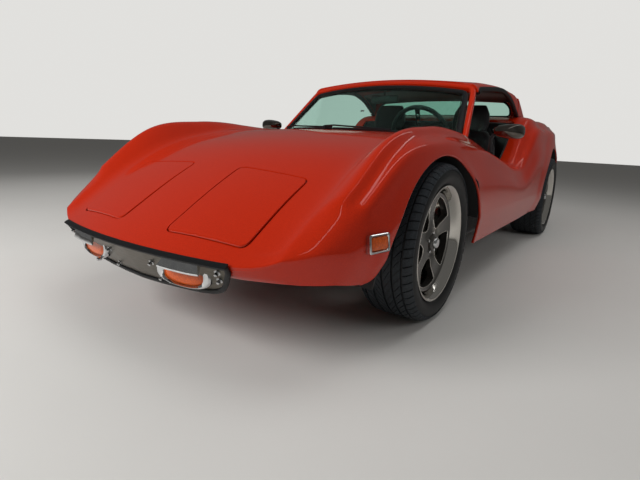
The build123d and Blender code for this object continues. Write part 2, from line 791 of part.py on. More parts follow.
# Wipers: two arms with blades, parked along the foot of the windscreen
wiper_reach = 400
wiper_level = 766
with BuildPart() as wipers:
    for pivot_x, pivot_y, turn in ((screen_base_x - 80, -449, 13), (screen_base_x + 30, -100, -3)):
        with BuildSketch(Plane.XY.offset(700)):
            with Locations((pivot_x, pivot_y)):
                Circle(10)
        extrude(amount=wiper_level - 700)
        with BuildSketch(Plane.XY.offset(wiper_level - 6)):
            with Locations(Location((pivot_x, pivot_y, 0), 90 - turn)):
                Polygon((-8, -8), (wiper_reach, -4), (wiper_reach, 4), (-8, 8), align=None)
        extrude(amount=10)
    add(body_below.part, mode=Mode.SUBTRACT)
save(wipers, "wipers")

# Front plate: polished bumper bar with a row of bolt holes and a bowed section
with BuildPart() as front_plate:
    extrude(plan_outline(-plate_standoff - plate_thickness), amount=plate_top_z)
    extrude(plan_outline(-plate_standoff), amount=plate_top_z, mode=Mode.SUBTRACT)
    with BuildSketch(cross_plane(0)) as face:
        with Locations((0, (plate_top_z + plate_bottom_z) / 2)):
            RectangleRounded(2 * plate_half, plate_top_z - plate_bottom_z, 20)
        with Locations((0, (plate_top_z + plate_bottom_z) / 2)):
            with GridLocations(2 * plate_half - 60, 36, 2, 2):
                Circle(plate_hole_radius, mode=Mode.SUBTRACT)
    extrude(amount=wheelbase, mode=Mode.INTERSECT)
save(front_plate, "front_plate")

# Driving lamps: chrome shells with visors, carried on the front plate
spot_y = 270
spot_z = 290
spot_half = 108
spot_high = 38
with BuildPart() as driving_lamps:
    for side in (1, -1):
        with BuildSketch(cross_plane(nose_x - 40)):
            with Locations((side * spot_y, spot_z)):
                RectangleRounded(2 * spot_half - 16, 2 * spot_high - 8, 20)
        extrude(amount=68)
        with BuildSketch(cross_plane(nose_x + 12)):
            with Locations((side * spot_y, spot_z)):
                RectangleRounded(2 * spot_half, 2 * spot_high, 26)
        extrude(amount=16)
    extrude(plan_outline(-plate_standoff - plate_thickness - gap), amount=plate_top_z, mode=Mode.SUBTRACT)
save(driving_lamps, "driving_lamps")

# Side markers: amber lenses in bright bezels ahead of the front arches
marker_x = front_axle_x + 535
marker_z = 412
marker_face_y = 757
with BuildPart() as side_markers:
    for side in (1, -1):
        with BuildSketch(side_plane(side * 700)) as marker_face:
            with Locations((marker_x, marker_z)):
                RectangleRounded(130, 68, 8)
        extrude(amount=-side * (marker_face_y - 700))
    add(front_outer, mode=Mode.SUBTRACT)
save(side_markers, "side_markers")

# Tail lamps: round lenses in bright rims, two on each side of the tail panel
with BuildPart() as tail_lamps:
    with BuildSketch(cross_plane(tail_x - gap)):
        with Locations(*[(side * y, tail_lamp_z) for side in (1, -1) for y in tail_lamp_ys]):
            Circle(tail_lamp_radius)
    extrude(amount=-14, taper=12)
save(tail_lamps, "tail_lamps")

# Number plate bracket: bare folded plate with four fixing holes on the tail panel
bracket_z = 560
bracket_width = 320
bracket_height = 165
bracket_thickness = 3
plate_hole_radius = 3.5
plate_pitch_y = 178
plate_pitch_z = 121
with BuildPart() as plate_bracket:
    with BuildSketch(cross_plane(tail_x - gap)):
        with Locations((0, bracket_z)):
            RectangleRounded(bracket_width, bracket_height, 12)
            with GridLocations(plate_pitch_y, plate_pitch_z, 2, 2):
                Circle(plate_hole_radius, mode=Mode.SUBTRACT)
    extrude(amount=-bracket_thickness)
save(plate_bracket, "plate_bracket")

# Front axle: two torsion tubes with trailing arms and the king pins that the hubs turn on
beam_half = 440
tube_zs = (tyre_radius - 62, tyre_radius + 62)
king_y = 590
king_radius = 9
king_low_z = tyre_radius - 100
king_high_z = tyre_radius + 100
lug_height = 18
arm_y = 505
arm_width = 26
with BuildPart() as front_axle:
    for z in tube_zs:
        with BuildSketch(side_plane(arm_y)):
            with Locations((beam_x, z)):
                Circle(beam_tube_radius)
        extrude(amount=2 * arm_y)
    for side in (1, -1):
        with BuildSketch(side_plane(side * beam_half)):
            with Locations((beam_x, tyre_radius)):
                Rectangle(34, 2 * (tube_zs[1] - tyre_radius) + 60)
        extrude(amount=side * 14)
        for z in tube_zs:
            with BuildSketch(side_plane(side * arm_y)):
                with Locations(((beam_x + front_axle_x) / 2, z)):
                    Rectangle(beam_x - front_axle_x + 36, 30)
            extrude(amount=-side * arm_width)
        with BuildSketch(Plane.XY.offset(king_low_z)):
            with Locations((front_axle_x, side * (arm_y + arm_width + 8))):
                Rectangle(36, 24)
        extrude(amount=king_high_z - king_low_z)
        for z in (king_low_z, king_high_z - lug_height):
            with BuildSketch(Plane.XY.offset(z)):
                with Locations((front_axle_x, side * (king_y - 24))):
                    Rectangle(36, 48)
                with Locations((front_axle_x, side * king_y)):
                    Circle(18)
            extrude(amount=lug_height)
        with BuildSketch(Plane.XY.offset(king_low_z)):
            with Locations((front_axle_x, side * king_y)):
                Circle(king_radius)
        extrude(amount=king_high_z - king_low_z)
save(front_axle, "front_axle")

# Knuckles: sleeve on the king pin, brake backing plate and stub axle
pin_clearance = 0.08
stub_radius = 15
sleeve_radius = 24
backing_radius = 112
hub_face = 34
steering_arm = 110
steering_arm_drop = 60
for label, side in (("knuckle_left", 1), ("knuckle_right", -1)):
    with BuildPart() as knuckle:
        with BuildSketch(Plane.XY.offset(king_low_z + lug_height + 1)):
            with Locations((front_axle_x, side * king_y)):
                Circle(sleeve_radius)
        extrude(amount=king_high_z - king_low_z - 2 * lug_height - 2)
        with BuildSketch(side_plane(side * (king_y + 6))):
            with Locations((front_axle_x, tyre_radius)):
                Circle(30)
        extrude(amount=-side * 24)
        with BuildSketch(side_plane(side * (king_y + 24))):
            with Locations((front_axle_x, tyre_radius)):
                Circle(backing_radius)
        extrude(amount=-side * 5)
        with BuildSketch(side_plane(side * (king_y + 20))):
            with Locations((front_axle_x, tyre_radius)):
                Circle(stub_radius)
        extrude(amount=-side * (front_hub_y + hub_face - king_y - 20))
        with BuildSketch(Plane.XY.offset(tyre_radius - steering_arm_drop)):
            with Locations((front_axle_x - steering_arm / 2, side * (king_y - 12))):
                SlotCenterToCenter(steering_arm, 22)
        extrude(amount=12)
        with BuildSketch(Plane.XY.offset(king_low_z + lug_height)):
            with Locations((front_axle_x, side * king_y)):
                Circle(king_radius + pin_clearance)
        extrude(amount=king_high_z - king_low_z, mode=Mode.SUBTRACT)
    save(knuckle, label)

# Wheels: five-spoke alloy rims with deep lips, and low-profile tyres
spoke_count = 5
lip_radius = rim_radius + rim_flange
barrel_wall = 7
hub_radius = 62
cap_radius = 34
cap_height = 14
stub_bore = stub_radius + pin_clearance
drum_radius = 108


def rim(label, side, x, hub_y, half):
    """One rim with its hub and drum, its outer face towards the side."""
    plane = Plane(origin=(x, side * hub_y, tyre_radius), x_dir=(1, 0, 0), z_dir=(0, side, 0))
    axis = Axis(plane.origin, plane.z_dir)
    well = rim_radius - 20
    with BuildPart() as wheel:
        with BuildSketch(Plane(origin=plane.origin, x_dir=(1, 0, 0), z_dir=(0, 0, -side))):
            with BuildLine():
                Polyline(
                    (lip_radius, half), (lip_radius, half - 7), (rim_radius + 6, half - 9), (rim_radius, half - 26),
                    (well, half - 48), (well, 50 - half), (rim_radius, 26 - half), (rim_radius + 6, 9 - half),
                    (lip_radius, 7 - half), (lip_radius, -half), (lip_radius - barrel_wall, -half),
                    (rim_radius - barrel_wall, 24 - half), (well - barrel_wall, 52 - half),
                    (well - barrel_wall, half - 52), (rim_radius - barrel_wall - 2, half - 28),
                    (lip_radius - barrel_wall, half), close=True,
                )
            make_face()
        revolve(axis=axis)
        with BuildSketch(plane.offset(half - 62)):
            with PolarLocations(0, spoke_count, start_angle=90):
                Polygon(
                    (hub_radius - 14, -24), (well - barrel_wall + 4, -32), (well - barrel_wall + 4, 32),
                    (hub_radius - 14, 24), align=None,
                )
        extrude(amount=24)
        with BuildSketch(plane.offset(-hub_back)):
            Circle(hub_radius)
        extrude(amount=half - 34 + hub_back)
        with BuildSketch(plane.offset(half - 34)):
            Circle(cap_radius)
        extrude(amount=cap_height, taper=12)
        with BuildSketch(plane.offset(-hub_back)):
            Circle(drum_radius)
        extrude(amount=36)
        with BuildSketch(plane.offset(-hub_back)):
            Circle(stub_bore)
        extrude(amount=hub_back + hub_face + 0.5, mode=Mode.SUBTRACT)
    save(wheel, label)


def tyre(label, side, x, hub_y, half, width):
    """One tyre with rounded shoulders, seated on its rim's beads."""
    plane = Plane(origin=(x, side * hub_y, tyre_radius), x_dir=(1, 0, 0), z_dir=(0, side, 0))
    bead = rim_radius + gap
    bulge = width / 2
    with BuildPart() as ring:
        with BuildSketch(Plane(origin=plane.origin, x_dir=(1, 0, 0), z_dir=(0, 0, -side))):
            with BuildLine():
                Polyline((bead, half - 26 - gap), (rim_radius + 6, half - 9 - 2 * gap), (lip_radius + 2, half - 7))
                ThreePointArc((lip_radius + 2, half - 7), (tyre_radius - 48, bulge), (tyre_radius - 14, bulge - 10))
                ThreePointArc((tyre_radius - 14, bulge - 10), (tyre_radius - 4, bulge - 18), (tyre_radius - 1, bulge - 32))
                ThreePointArc((tyre_radius - 1, bulge - 32), (tyre_radius, 0), (tyre_radius - 1, 32 - bulge))
                ThreePointArc((tyre_radius - 1, 32 - bulge), (tyre_radius - 4, 18 - bulge), (tyre_radius - 14, 10 - bulge))
                ThreePointArc((tyre_radius - 14, 10 - bulge), (tyre_radius - 48, -bulge), (lip_radius + 2, 7 - half))
                Polyline((lip_radius + 2, 7 - half), (rim_radius + 6, 9 + 2 * gap - half), (bead, 26 + gap - half))
                Line((bead, 26 + gap - half), (bead, half - 26 - gap))
            make_face()
        revolve(axis=Axis(plane.origin, plane.z_dir))
    save(ring, label)


hub_back = 42
WHEELS = [
    ("front_left", 1, front_axle_x, front_hub_y, 101, front_tyre_width),
    ("front_right", -1, front_axle_x, front_hub_y, 101, front_tyre_width),
    ("rear_left", 1, rear_axle_x, rear_hub_y, 110, rear_tyre_width),
    ("rear_right", -1, rear_axle_x, rear_hub_y, 110, rear_tyre_width),
]
for corner, side, x, hub_y, half, width in WHEELS:
    rim(f"rim_{corner}", side, x, hub_y, half)
    tyre(f"tyre_{corner}", side, x, hub_y, half, width)

# Transaxle: bell housing and tapered gear case, hung in the rear fork
case_radius = 92
bell_radius = 150
axle_tube_radius = 34
with BuildPart() as transaxle:
    with BuildSketch(cross_plane(bulkhead_x - 90 - 2 * gap)):
        with Locations((0, tyre_radius)):
            Circle(48)
    extrude(amount=-170)
    with BuildSketch(cross_plane(rear_axle_x + 340)):
        with Locations((0, tyre_radius)):
            Circle(case_radius)
    extrude(amount=-420)
    with BuildSketch(cross_plane(rear_axle_x - 80)):
        with Locations((0, tyre_radius)):
            Circle(bell_radius)
    extrude(amount=-78)
    for side in (1, -1):
        with BuildSketch(Plane.XY.offset(fork_z + fork_height + gap)):
            with Locations((rear_axle_x - 100, side * 190)):
                Rectangle(34, 130)
        extrude(amount=26)
save(transaxle, "transaxle")

# Engine: one block behind the transaxle
engine_front_x = rear_axle_x - 80 - 78 - gap
with BuildPart() as engine:
    with BuildSketch(Plane.XY.offset(205)):
        with Locations((engine_front_x - 215, 0)):
            Rectangle(430, 720)
    extrude(amount=230)
    with BuildSketch(Plane.XY.offset(435)):
        with Locations((engine_front_x - 215, 0)):
            Rectangle(380, 460)
    extrude(amount=250, taper=6)
save(engine, "engine")

# Rear axle: torsion tube, spring plates, axle tubes and stub axles
plate_y = 452
torsion_x = bulkhead_x - 30 - 30 - gap
with BuildPart() as rear_axle:
    with BuildSketch(side_plane(plate_y)):
        with Locations((torsion_x, torsion_z)):
            Circle(30)
    extrude(amount=2 * plate_y)
    for side in (1, -1):
        with BuildSketch(side_plane(side * plate_y)):
            with Locations(((torsion_x + rear_axle_x) / 2, tyre_radius)):
                Rectangle(torsion_x - rear_axle_x + 90, 72)
        extrude(amount=-side * 10)
        with BuildSketch(side_plane(side * (case_radius + gap))):
            with Locations((rear_axle_x, tyre_radius)):
                Circle(axle_tube_radius)
        extrude(amount=-side * (rear_hub_y - hub_back - 16 - case_radius))
        with BuildSketch(side_plane(side * (rear_hub_y - hub_back - 16))):
            with Locations((rear_axle_x, tyre_radius)):
                Circle(backing_radius)
        extrude(amount=-side * 6)
        with BuildSketch(side_plane(side * (rear_hub_y - hub_back - 12))):
            with Locations((rear_axle_x, tyre_radius)):
                Circle(stub_radius)
        extrude(amount=-side * (hub_back + 12 + hub_face))
save(rear_axle, "rear_axle")

# Exhaust: cross-mounted silencer behind the engine with twin tail pipes
silencer_x = tail_x + 150
silencer_z = 262
silencer_radius = 62
with BuildPart() as exhaust:
    with BuildSketch(side_plane(300)):
        with Locations((silencer_x, silencer_z)):
            Circle(silencer_radius)
    extrude(amount=600)
    for side in (1, -1):
        with BuildSketch(cross_plane(engine_front_x - 430 - gap)):
            with Locations((side * 230, silencer_z)):
                Circle(19)
        extrude(amount=silencer_x - engine_front_x + 430 + gap)
        with BuildSketch(cross_plane(silencer_x)):
            with Locations((side * 110, silencer_z)):
                Circle(24)
        extrude(amount=exhaust_tip_x - silencer_x)
        with BuildSketch(cross_plane(exhaust_tip_x - 1)):
            with Locations((side * 110, silencer_z)):
                Circle(21)
        extrude(amount=90, mode=Mode.SUBTRACT)
save(exhaust, "exhaust")
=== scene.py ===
"""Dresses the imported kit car: paint, glass, trim, cabin, wheels and tyres round the fixed frame.

The pieces are measured in millimetres, like the CAD, and the helpers that make Blender objects turn them to metres.
X points forward, Y to the car's left and Z up.
"""

import json
import logging
import math
from dataclasses import dataclass, field
from enum import Enum
from typing import Callable, Iterable, Sequence

import bmesh
import bpy
import numpy as np
from mathutils import Matrix, Vector

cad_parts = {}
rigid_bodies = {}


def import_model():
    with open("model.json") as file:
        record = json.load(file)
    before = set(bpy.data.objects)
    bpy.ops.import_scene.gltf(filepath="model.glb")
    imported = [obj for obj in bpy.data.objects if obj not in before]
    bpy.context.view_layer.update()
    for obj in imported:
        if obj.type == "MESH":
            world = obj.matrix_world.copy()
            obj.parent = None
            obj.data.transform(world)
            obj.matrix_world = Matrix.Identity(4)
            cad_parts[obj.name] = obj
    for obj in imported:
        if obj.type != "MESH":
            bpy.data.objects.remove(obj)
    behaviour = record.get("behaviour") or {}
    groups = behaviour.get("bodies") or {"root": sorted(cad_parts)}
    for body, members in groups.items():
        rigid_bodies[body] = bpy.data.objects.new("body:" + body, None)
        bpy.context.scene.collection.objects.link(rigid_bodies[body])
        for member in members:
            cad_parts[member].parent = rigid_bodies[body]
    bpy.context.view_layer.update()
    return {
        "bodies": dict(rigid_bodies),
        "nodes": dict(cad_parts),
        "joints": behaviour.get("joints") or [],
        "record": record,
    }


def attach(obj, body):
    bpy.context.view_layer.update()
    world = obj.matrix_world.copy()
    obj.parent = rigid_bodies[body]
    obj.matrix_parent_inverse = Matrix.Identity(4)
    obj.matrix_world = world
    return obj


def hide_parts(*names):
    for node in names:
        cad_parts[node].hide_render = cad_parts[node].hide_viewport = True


LOG = logging.getLogger("kit_car")
MM = 0.001


class Side(Enum):
    """Side of the car, as the sign of its Y coordinate."""

    LEFT = 1
    RIGHT = -1

    @property
    def label(self) -> str:
        """Name of the side in lower case."""
        return self.name.lower()


def linear(hex_code: str) -> tuple[float, float, float, float]:
    """Turn an sRGB hex colour into linear RGBA.

    Args:
        hex_code: Colour as "#RRGGBB".

    Returns:
        Linear red, green, blue and an alpha of one.
    """
    channels = [int(hex_code[k:k + 2], 16) / 255 for k in (1, 3, 5)]
    lit = [c / 12.92 if c <= 0.04045 else ((c + 0.055) / 1.055) ** 2.4 for c in channels]
    return (lit[0], lit[1], lit[2], 1.0)


def add_node(tree: bpy.types.NodeTree, kind: str, settings: dict | None = None,
             inputs: dict | None = None) -> bpy.types.Node:
    """Add a node with its settings, socket values and links.

    Args:
        tree: Tree that gets the node.
        kind: Node type, such as "ShaderNodeBump".
        settings: Attribute values by name.
        inputs: Socket values, or output sockets to link from, by input name or index.

    Returns:
        The new node.
    """
    node = tree.nodes.new(kind)
    for key, value in (settings or {}).items():
        setattr(node, key, value)
    for key, value in (inputs or {}).items():
        if isinstance(value, bpy.types.NodeSocket):
            tree.links.new(value, node.inputs[key])
        else:
            node.inputs[key].default_value = value
    return node


def new_surface(name: str, shader: dict) -> tuple[bpy.types.Material, bpy.types.NodeTree, bpy.types.Node]:
    """Make a material with one Principled shader.

    Args:
        name: Name of the material.
        shader: Values of the shader's sockets by name.

    Returns:
        The material, its node tree and its shader.
    """
    material = bpy.data.materials.new(name)
    material.use_nodes = True
    tree = material.node_tree
    tree.nodes.clear()
    principled = add_node(tree, "ShaderNodeBsdfPrincipled", inputs=shader)
    add_node(tree, "ShaderNodeOutputMaterial", inputs={"Surface": principled.outputs[0]})
    return material, tree, principled


def object_grain(tree: bpy.types.NodeTree, period: float, stretch: Sequence[float] = (1, 1, 1),
                 detail: float = 2.0) -> bpy.types.NodeSocket:
    """Noise on object coordinates with a given period.

    Args:
        tree: Tree that gets the nodes.
        period: Size of the grain in metres.
        stretch: Scale of the pattern along X, Y and Z.
        detail: Octaves of the noise.

    Returns:
        The noise's value socket.
    """
    place = add_node(tree, "ShaderNodeTexCoord")
    mapped = add_node(tree, "ShaderNodeMapping", inputs={"Vector": place.outputs["Object"], "Scale": tuple(stretch)})
    noise = add_node(tree, "ShaderNodeTexNoise",
                     inputs={"Vector": mapped.outputs[0], "Scale": 1 / period, "Detail": detail})
    return noise.outputs["Fac"]


def tint(tree: bpy.types.NodeTree, driver: bpy.types.NodeSocket,
         stops: Sequence[tuple[float, str]]) -> bpy.types.NodeSocket:
    """Colour ramp from a value.

    Args:
        tree: Tree that gets the node.
        driver: Value that drives the ramp.
        stops: Positions and hex colours.

    Returns:
        The ramp's colour socket.
    """
    ramp = add_node(tree, "ShaderNodeValToRGB", inputs={"Fac": driver})
    elements = ramp.color_ramp.elements
    while len(elements) < len(stops):
        elements.new(0.5)
    for element, (position, colour) in zip(elements, stops):
        element.position = position
        element.color = linear(colour)
    return ramp.outputs["Color"]


def roughen(tree: bpy.types.NodeTree, shader: bpy.types.Node, height: bpy.types.NodeSocket, depth: float,
            strength: float = 1.0, coat: bool = False) -> None:
    """Drive the shader's normal from a height.

    Args:
        tree: Tree that gets the bump.
        shader: Shader to roughen.
        height: Height between zero and one.
        depth: Depth of the relief in metres.
        strength: Share of the bump that is used.
        coat: Whether the clear coat gets the same relief.
    """
    bump = add_node(tree, "ShaderNodeBump", inputs={"Height": height, "Distance": depth, "Strength": strength})
    tree.links.new(bump.outputs[0], shader.inputs["Normal"])
    if coat:
        tree.links.new(bump.outputs[0], shader.inputs["Coat Normal"])


class Finish:
    """Surface of a real material, built as a Blender material when a piece first needs it."""

    name: str

    @property
    def material(self) -> bpy.types.Material:
        """The finish's material."""
        return bpy.data.materials.get(self.name) or self.make()

    def make(self) -> bpy.types.Material:
        """Build the material."""
        raise NotImplementedError


@dataclass(frozen=True)
class Paint(Finish):
    """Metallic orange-red two-pack paint under a clear lacquer, on moulded glass fibre.

    Aluminium flakes under the lacquer give a fine sparkle, and the lacquer a sharp reflection with
    a trace of orange peel.
    """

    name: str = "orange_red_metallic_paint"
    face: str = "#CC2C08"
    deep: str = "#B32205"
    flake_period: float = 0.0016

    def make(self) -> bpy.types.Material:
        """Build the material."""
        material, tree, shader = new_surface(self.name, {
            "Metallic": 0.2, "Roughness": 0.42, "IOR": 1.5, "Specular IOR Level": 0.05, "Coat Weight": 0.75,
            "Coat Roughness": 0.05, "Coat IOR": 1.5,
        })
        flakes = object_grain(tree, self.flake_period, detail=1.0)
        colour = tint(tree, flakes, [(0.35, self.deep), (0.65, self.face)])
        tree.links.new(colour, shader.inputs["Base Color"])
        peel = object_grain(tree, 0.012, detail=1.0)
        roughen(tree, shader, peel, 0.00006, coat=True)
        return material


@dataclass(frozen=True)
class Plain(Finish):
    """Moulded, cast or coated surface with a fine grain in its colour and relief."""

    name: str
    face: str
    deep: str
    period: float
    depth: float
    roughness: float
    metallic: float = 0.0
    coat: float = 0.0
    sheen: float = 0.0
    stretch: tuple[float, float, float] = (1.0, 1.0, 1.0)

    def make(self) -> bpy.types.Material:
        """Build the material."""
        material, tree, shader = new_surface(self.name, {
            "Metallic": self.metallic, "Roughness": self.roughness, "Coat Weight": self.coat,
            "Coat Roughness": 0.06, "Sheen Weight": self.sheen, "Sheen Roughness": 0.4,
        })
        grain = object_grain(tree, self.period, self.stretch, detail=3.0)
        tree.links.new(tint(tree, grain, [(0.3, self.deep), (0.7, self.face)]), shader.inputs["Base Color"])
        roughen(tree, shader, grain, self.depth)
        return material


@dataclass(frozen=True)
class Glass(Finish):
    """Clear or tinted glass with a wave in its surface too slight to see through it."""

    name: str
    face: str
    roughness: float = 0.0
    index: float = 1.45

    def make(self) -> bpy.types.Material:
        """Build the material."""
        material, tree, shader = new_surface(self.name, {
            "Base Color": linear(self.face), "Roughness": self.roughness, "IOR": self.index,
            "Transmission Weight": 1.0,
        })
        wave = object_grain(tree, 0.25, detail=0.0)
        roughen(tree, shader, wave, 0.0002, strength=0.3)
        return material


@dataclass(frozen=True)
class Finishes:
    """Every finish of the car, each named for the real material and how it was made."""

    # Two-pack metallic paint: a sharp lacquer reflection over a warm, slightly sparkling base.
    paint: Finish = Paint()
    # Extruded black rubber: matt, with a faint bloom.
    rubber: Finish = Plain("black_extruded_rubber", "#17181A", "#0D0E0F", 0.004, 0.00008, 0.55)
    # Moulded black plastic with a leather-like grain.
    plastic: Finish = Plain("black_moulded_plastic", "#1B1C1E", "#101112", 0.0025, 0.00012, 0.45)
    # Black vinyl over foam: soft sheen and a fine pebble grain.
    vinyl: Finish = Plain("black_grained_vinyl", "#1E1F22", "#121315", 0.003, 0.00025, 0.42, sheen=0.25)
    # Cut-pile nylon carpet: no gloss, speckled.
    carpet: Finish = Plain("black_cut_pile_carpet", "#1C1C1D", "#0A0A0B", 0.002, 0.0008, 0.95, sheen=0.3)
    # Bright chrome plate: near mirror.
    chrome: Finish = Plain("bright_chrome_plate", "#D9DADB", "#C9CACC", 0.03, 0.00002, 0.09, metallic=1.0)
    # Darkened chrome plate: a dim mirror.
    smoked_chrome: Finish = Plain("smoked_chrome_plate", "#77706A", "#5E5853", 0.03, 0.00002, 0.12, metallic=1.0)
    # Hand-polished stainless sheet: fine lines along the bar and a soft reflection.
    sheet: Finish = Plain("brushed_stainless_sheet", "#7C776E", "#656056", 0.002, 0.00004, 0.3, metallic=1.0,
                          stretch=(1.0, 0.05, 1.0))
    # Satin black enamel on pressed steel.
    enamel: Finish = Plain("satin_black_enamel", "#18191A", "#0E0E0F", 0.006, 0.00006, 0.38)
    # Bare cast aluminium, sand grain and dull.
    casting: Finish = Plain("sand_cast_aluminium", "#8A8A88", "#6C6C6B", 0.003, 0.0002, 0.5, metallic=0.9)
    # Mild steel that has been hot: dull brown-grey.
    hot_steel: Finish = Plain("heat_browned_steel", "#6E6057", "#463C36", 0.02, 0.00008, 0.45, metallic=0.9)
    # Dark grey wheel paint, fine and even.
    wheel_paint: Finish = Plain("dark_grey_wheel_paint", "#55524E", "#454340", 0.0016, 0.00002, 0.3, metallic=0.6,
                                coat=0.6)
    # Turned and polished aluminium: circular tool marks too fine to see, a soft bright reflection.
    machined: Finish = Plain("turned_polished_aluminium", "#D8D5CF", "#C6C2BB", 0.0012, 0.00001, 0.09, metallic=1.0)
    # Tyre rubber: smooth and near black on the sidewall.
    tyre: Finish = Plain("black_tyre_rubber", "#17181A", "#101112", 0.006, 0.0001, 0.55)
    # Tyre rubber scuffed by the road: matt blue-grey.
    tread: Finish = Plain("scuffed_tread_rubber", "#34393E", "#24282C", 0.006, 0.0001, 0.75)
    # Float glass with a green tint, thin enough that it hardly bends or mirrors the light.
    glass: Finish = Glass("green_tinted_float_glass", "#A9CDC1", index=1.12)
    # Clear fluted lamp glass.
    lamp_glass: Finish = Glass("clear_pressed_lamp_glass", "#EEF2F4", roughness=0.08)
    # Moulded amber acrylic.
    amber: Finish = Plain("moulded_amber_acrylic", "#DE5E02", "#B84400", 0.006, 0.0004, 0.3, coat=0.3)
    # Moulded red acrylic.
    red_lens: Finish = Plain("moulded_red_acrylic", "#C01208", "#8E0A05", 0.006, 0.0004, 0.18, coat=0.8)


# Mesh helpers. They take millimetres and leave meshes in metres, with every object at the origin.


def clear_selection() -> None:
    """Deselect every object."""
    for each in bpy.context.view_layer.objects:
        each.select_set(False)


def take(obj: bpy.types.Object) -> bpy.types.Object:
    """Select one object alone and make it active."""
    clear_selection()
    obj.select_set(True)
    bpy.context.view_layer.objects.active = obj
    return obj


def settle(obj: bpy.types.Object) -> bpy.types.Object:
    """Put an object's place, turn and scale into its mesh."""
    take(obj)
    bpy.ops.object.transform_apply(location=True, rotation=True, scale=True)
    return obj


def mesh_piece(name: str, points: Iterable[Sequence[float]], faces: Iterable[Sequence[int]]) -> bpy.types.Object:
    """Make a mesh object from points in millimetres.

    Args:
        name: Name of the object.
        points: Corners in millimetres.
        faces: Corner numbers of each face.

    Returns:
        The new object.
    """
    mesh = bpy.data.meshes.new(name)
    mesh.from_pydata([tuple(c * MM for c in point) for point in points], [], [tuple(f) for f in faces])
    mesh.update()
    obj = bpy.data.objects.new(name, mesh)
    bpy.context.scene.collection.objects.link(obj)
    return obj


def outward(obj: bpy.types.Object) -> bpy.types.Object:
    """Merge doubles and turn every face of a closed mesh outwards."""
    work = bmesh.new()
    work.from_mesh(obj.data)
    bmesh.ops.remove_doubles(work, verts=work.verts, dist=0.00001)
    bmesh.ops.recalc_face_normals(work, faces=work.faces)
    work.to_mesh(obj.data)
    work.free()
    return obj


def face_out(obj: bpy.types.Object, axis: int | None = None) -> bpy.types.Object:
    """Turn the faces of an open mesh to the same side.

    Args:
        obj: Object that is changed.
        axis: Axis that most of the faces have to look along, or None for whichever side comes first.

    Returns:
        The same object.
    """
    work = bmesh.new()
    work.from_mesh(obj.data)
    bmesh.ops.recalc_face_normals(work, faces=work.faces)
    if axis is not None and sum(face.normal[axis] for face in work.faces) < 0:
        bmesh.ops.reverse_faces(work, faces=work.faces)
    work.to_mesh(obj.data)
    work.free()
    return obj


def finish_with(obj: bpy.types.Object, kind: str, **settings: object) -> bpy.types.Object:
    """Add a modifier and apply it.

    Args:
        obj: Object that is changed.
        kind: Modifier type.
        **settings: Attribute values of the modifier.

    Returns:
        The same object.
    """
    take(obj)
    modifier = obj.modifiers.new(kind.lower(), kind)
    for key, value in settings.items():
        setattr(modifier, key, value)
    bpy.ops.object.modifier_apply(modifier=modifier.name)
    return obj


def soften(obj: bpy.types.Object, width: float, segments: int = 3) -> bpy.types.Object:
    """Round an object's sharp edges.

    Args:
        obj: Object that is changed.
        width: Width of the rounding in millimetres.
        segments: Faces across the rounding.

    Returns:
        The same object.
    """
    return finish_with(obj, "BEVEL", width=width * MM, segments=segments, limit_method="ANGLE",
                       angle_limit=math.radians(30), use_clamp_overlap=True)


def shade(obj: bpy.types.Object, angle: float) -> bpy.types.Object:
    """Shade smooth, with edges sharper than an angle left crisp."""
    take(obj)
    bpy.ops.object.shade_smooth_by_angle(angle=math.radians(angle))
    return obj


def cut(obj: bpy.types.Object, cutter: bpy.types.Object) -> bpy.types.Object:
    """Take a closed cutter out of an object.

    Args:
        obj: Object that is changed.
        cutter: Closed mesh, deleted afterwards.

    Returns:
        The changed object.
    """
    finish_with(obj, "BOOLEAN", operation="DIFFERENCE", object=cutter, solver="EXACT")
    bpy.data.objects.remove(cutter, do_unlink=True)
    return obj


def joined(name: str, parts: Sequence[bpy.types.Object]) -> bpy.types.Object:
    """Join several objects into the first and name it."""
    clear_selection()
    for part in parts:
        part.select_set(True)
    bpy.context.view_layer.objects.active = parts[0]
    if len(parts) > 1:
        bpy.ops.object.join()
    parts[0].name = name
    parts[0].data.name = name
    return parts[0]


def loft(name: str, rings: Sequence[Sequence[Sequence[float]]], round_rings: bool = True, end_caps: bool = True,
         loop: bool = False) -> bpy.types.Object:
    """Skin a row of rings that have the same number of points.

    Args:
        name: Name of the object.
        rings: Rings of points in millimetres.
        round_rings: Whether each ring closes on itself.
        end_caps: Whether the first and last ring are closed by a face.
        loop: Whether the last ring joins the first.

    Returns:
        The new object.
    """
    count = len(rings[0])
    faces = []
    for i in range(len(rings) if loop else len(rings) - 1):
        a, b = i * count, (i + 1) % len(rings) * count
        for k in range(count if round_rings else count - 1):
            n = (k + 1) % count
            faces.append((a + k, a + n, b + n, b + k))
    if end_caps and not loop:
        faces.append(tuple(range(count))[::-1])
        faces.append(tuple(range((len(rings) - 1) * count, len(rings) * count)))
    obj = mesh_piece(name, [p for ring in rings for p in ring], faces)
    return outward(obj) if (end_caps or loop) and round_rings else obj


def facing(direction: Sequence[float], axis: str) -> Matrix:
    """Turn that points an object's axis, such as "Z" or "-Z", in a direction."""
    return Vector(direction).to_track_quat(axis, "Y").to_matrix().to_4x4()


def block(name: str, centre: Sequence[float], size: Sequence[float], round_by: float = 0,
          segments: int = 3) -> bpy.types.Object:
    """Box primitive with rounded edges, in millimetres."""
    clear_selection()
    bpy.ops.mesh.primitive_cube_add(size=1, location=[c * MM for c in centre])
    obj = bpy.context.object
    obj.name = name
    obj.scale = [s * MM for s in size]
    settle(obj)
    return soften(obj, round_by, segments) if round_by else obj


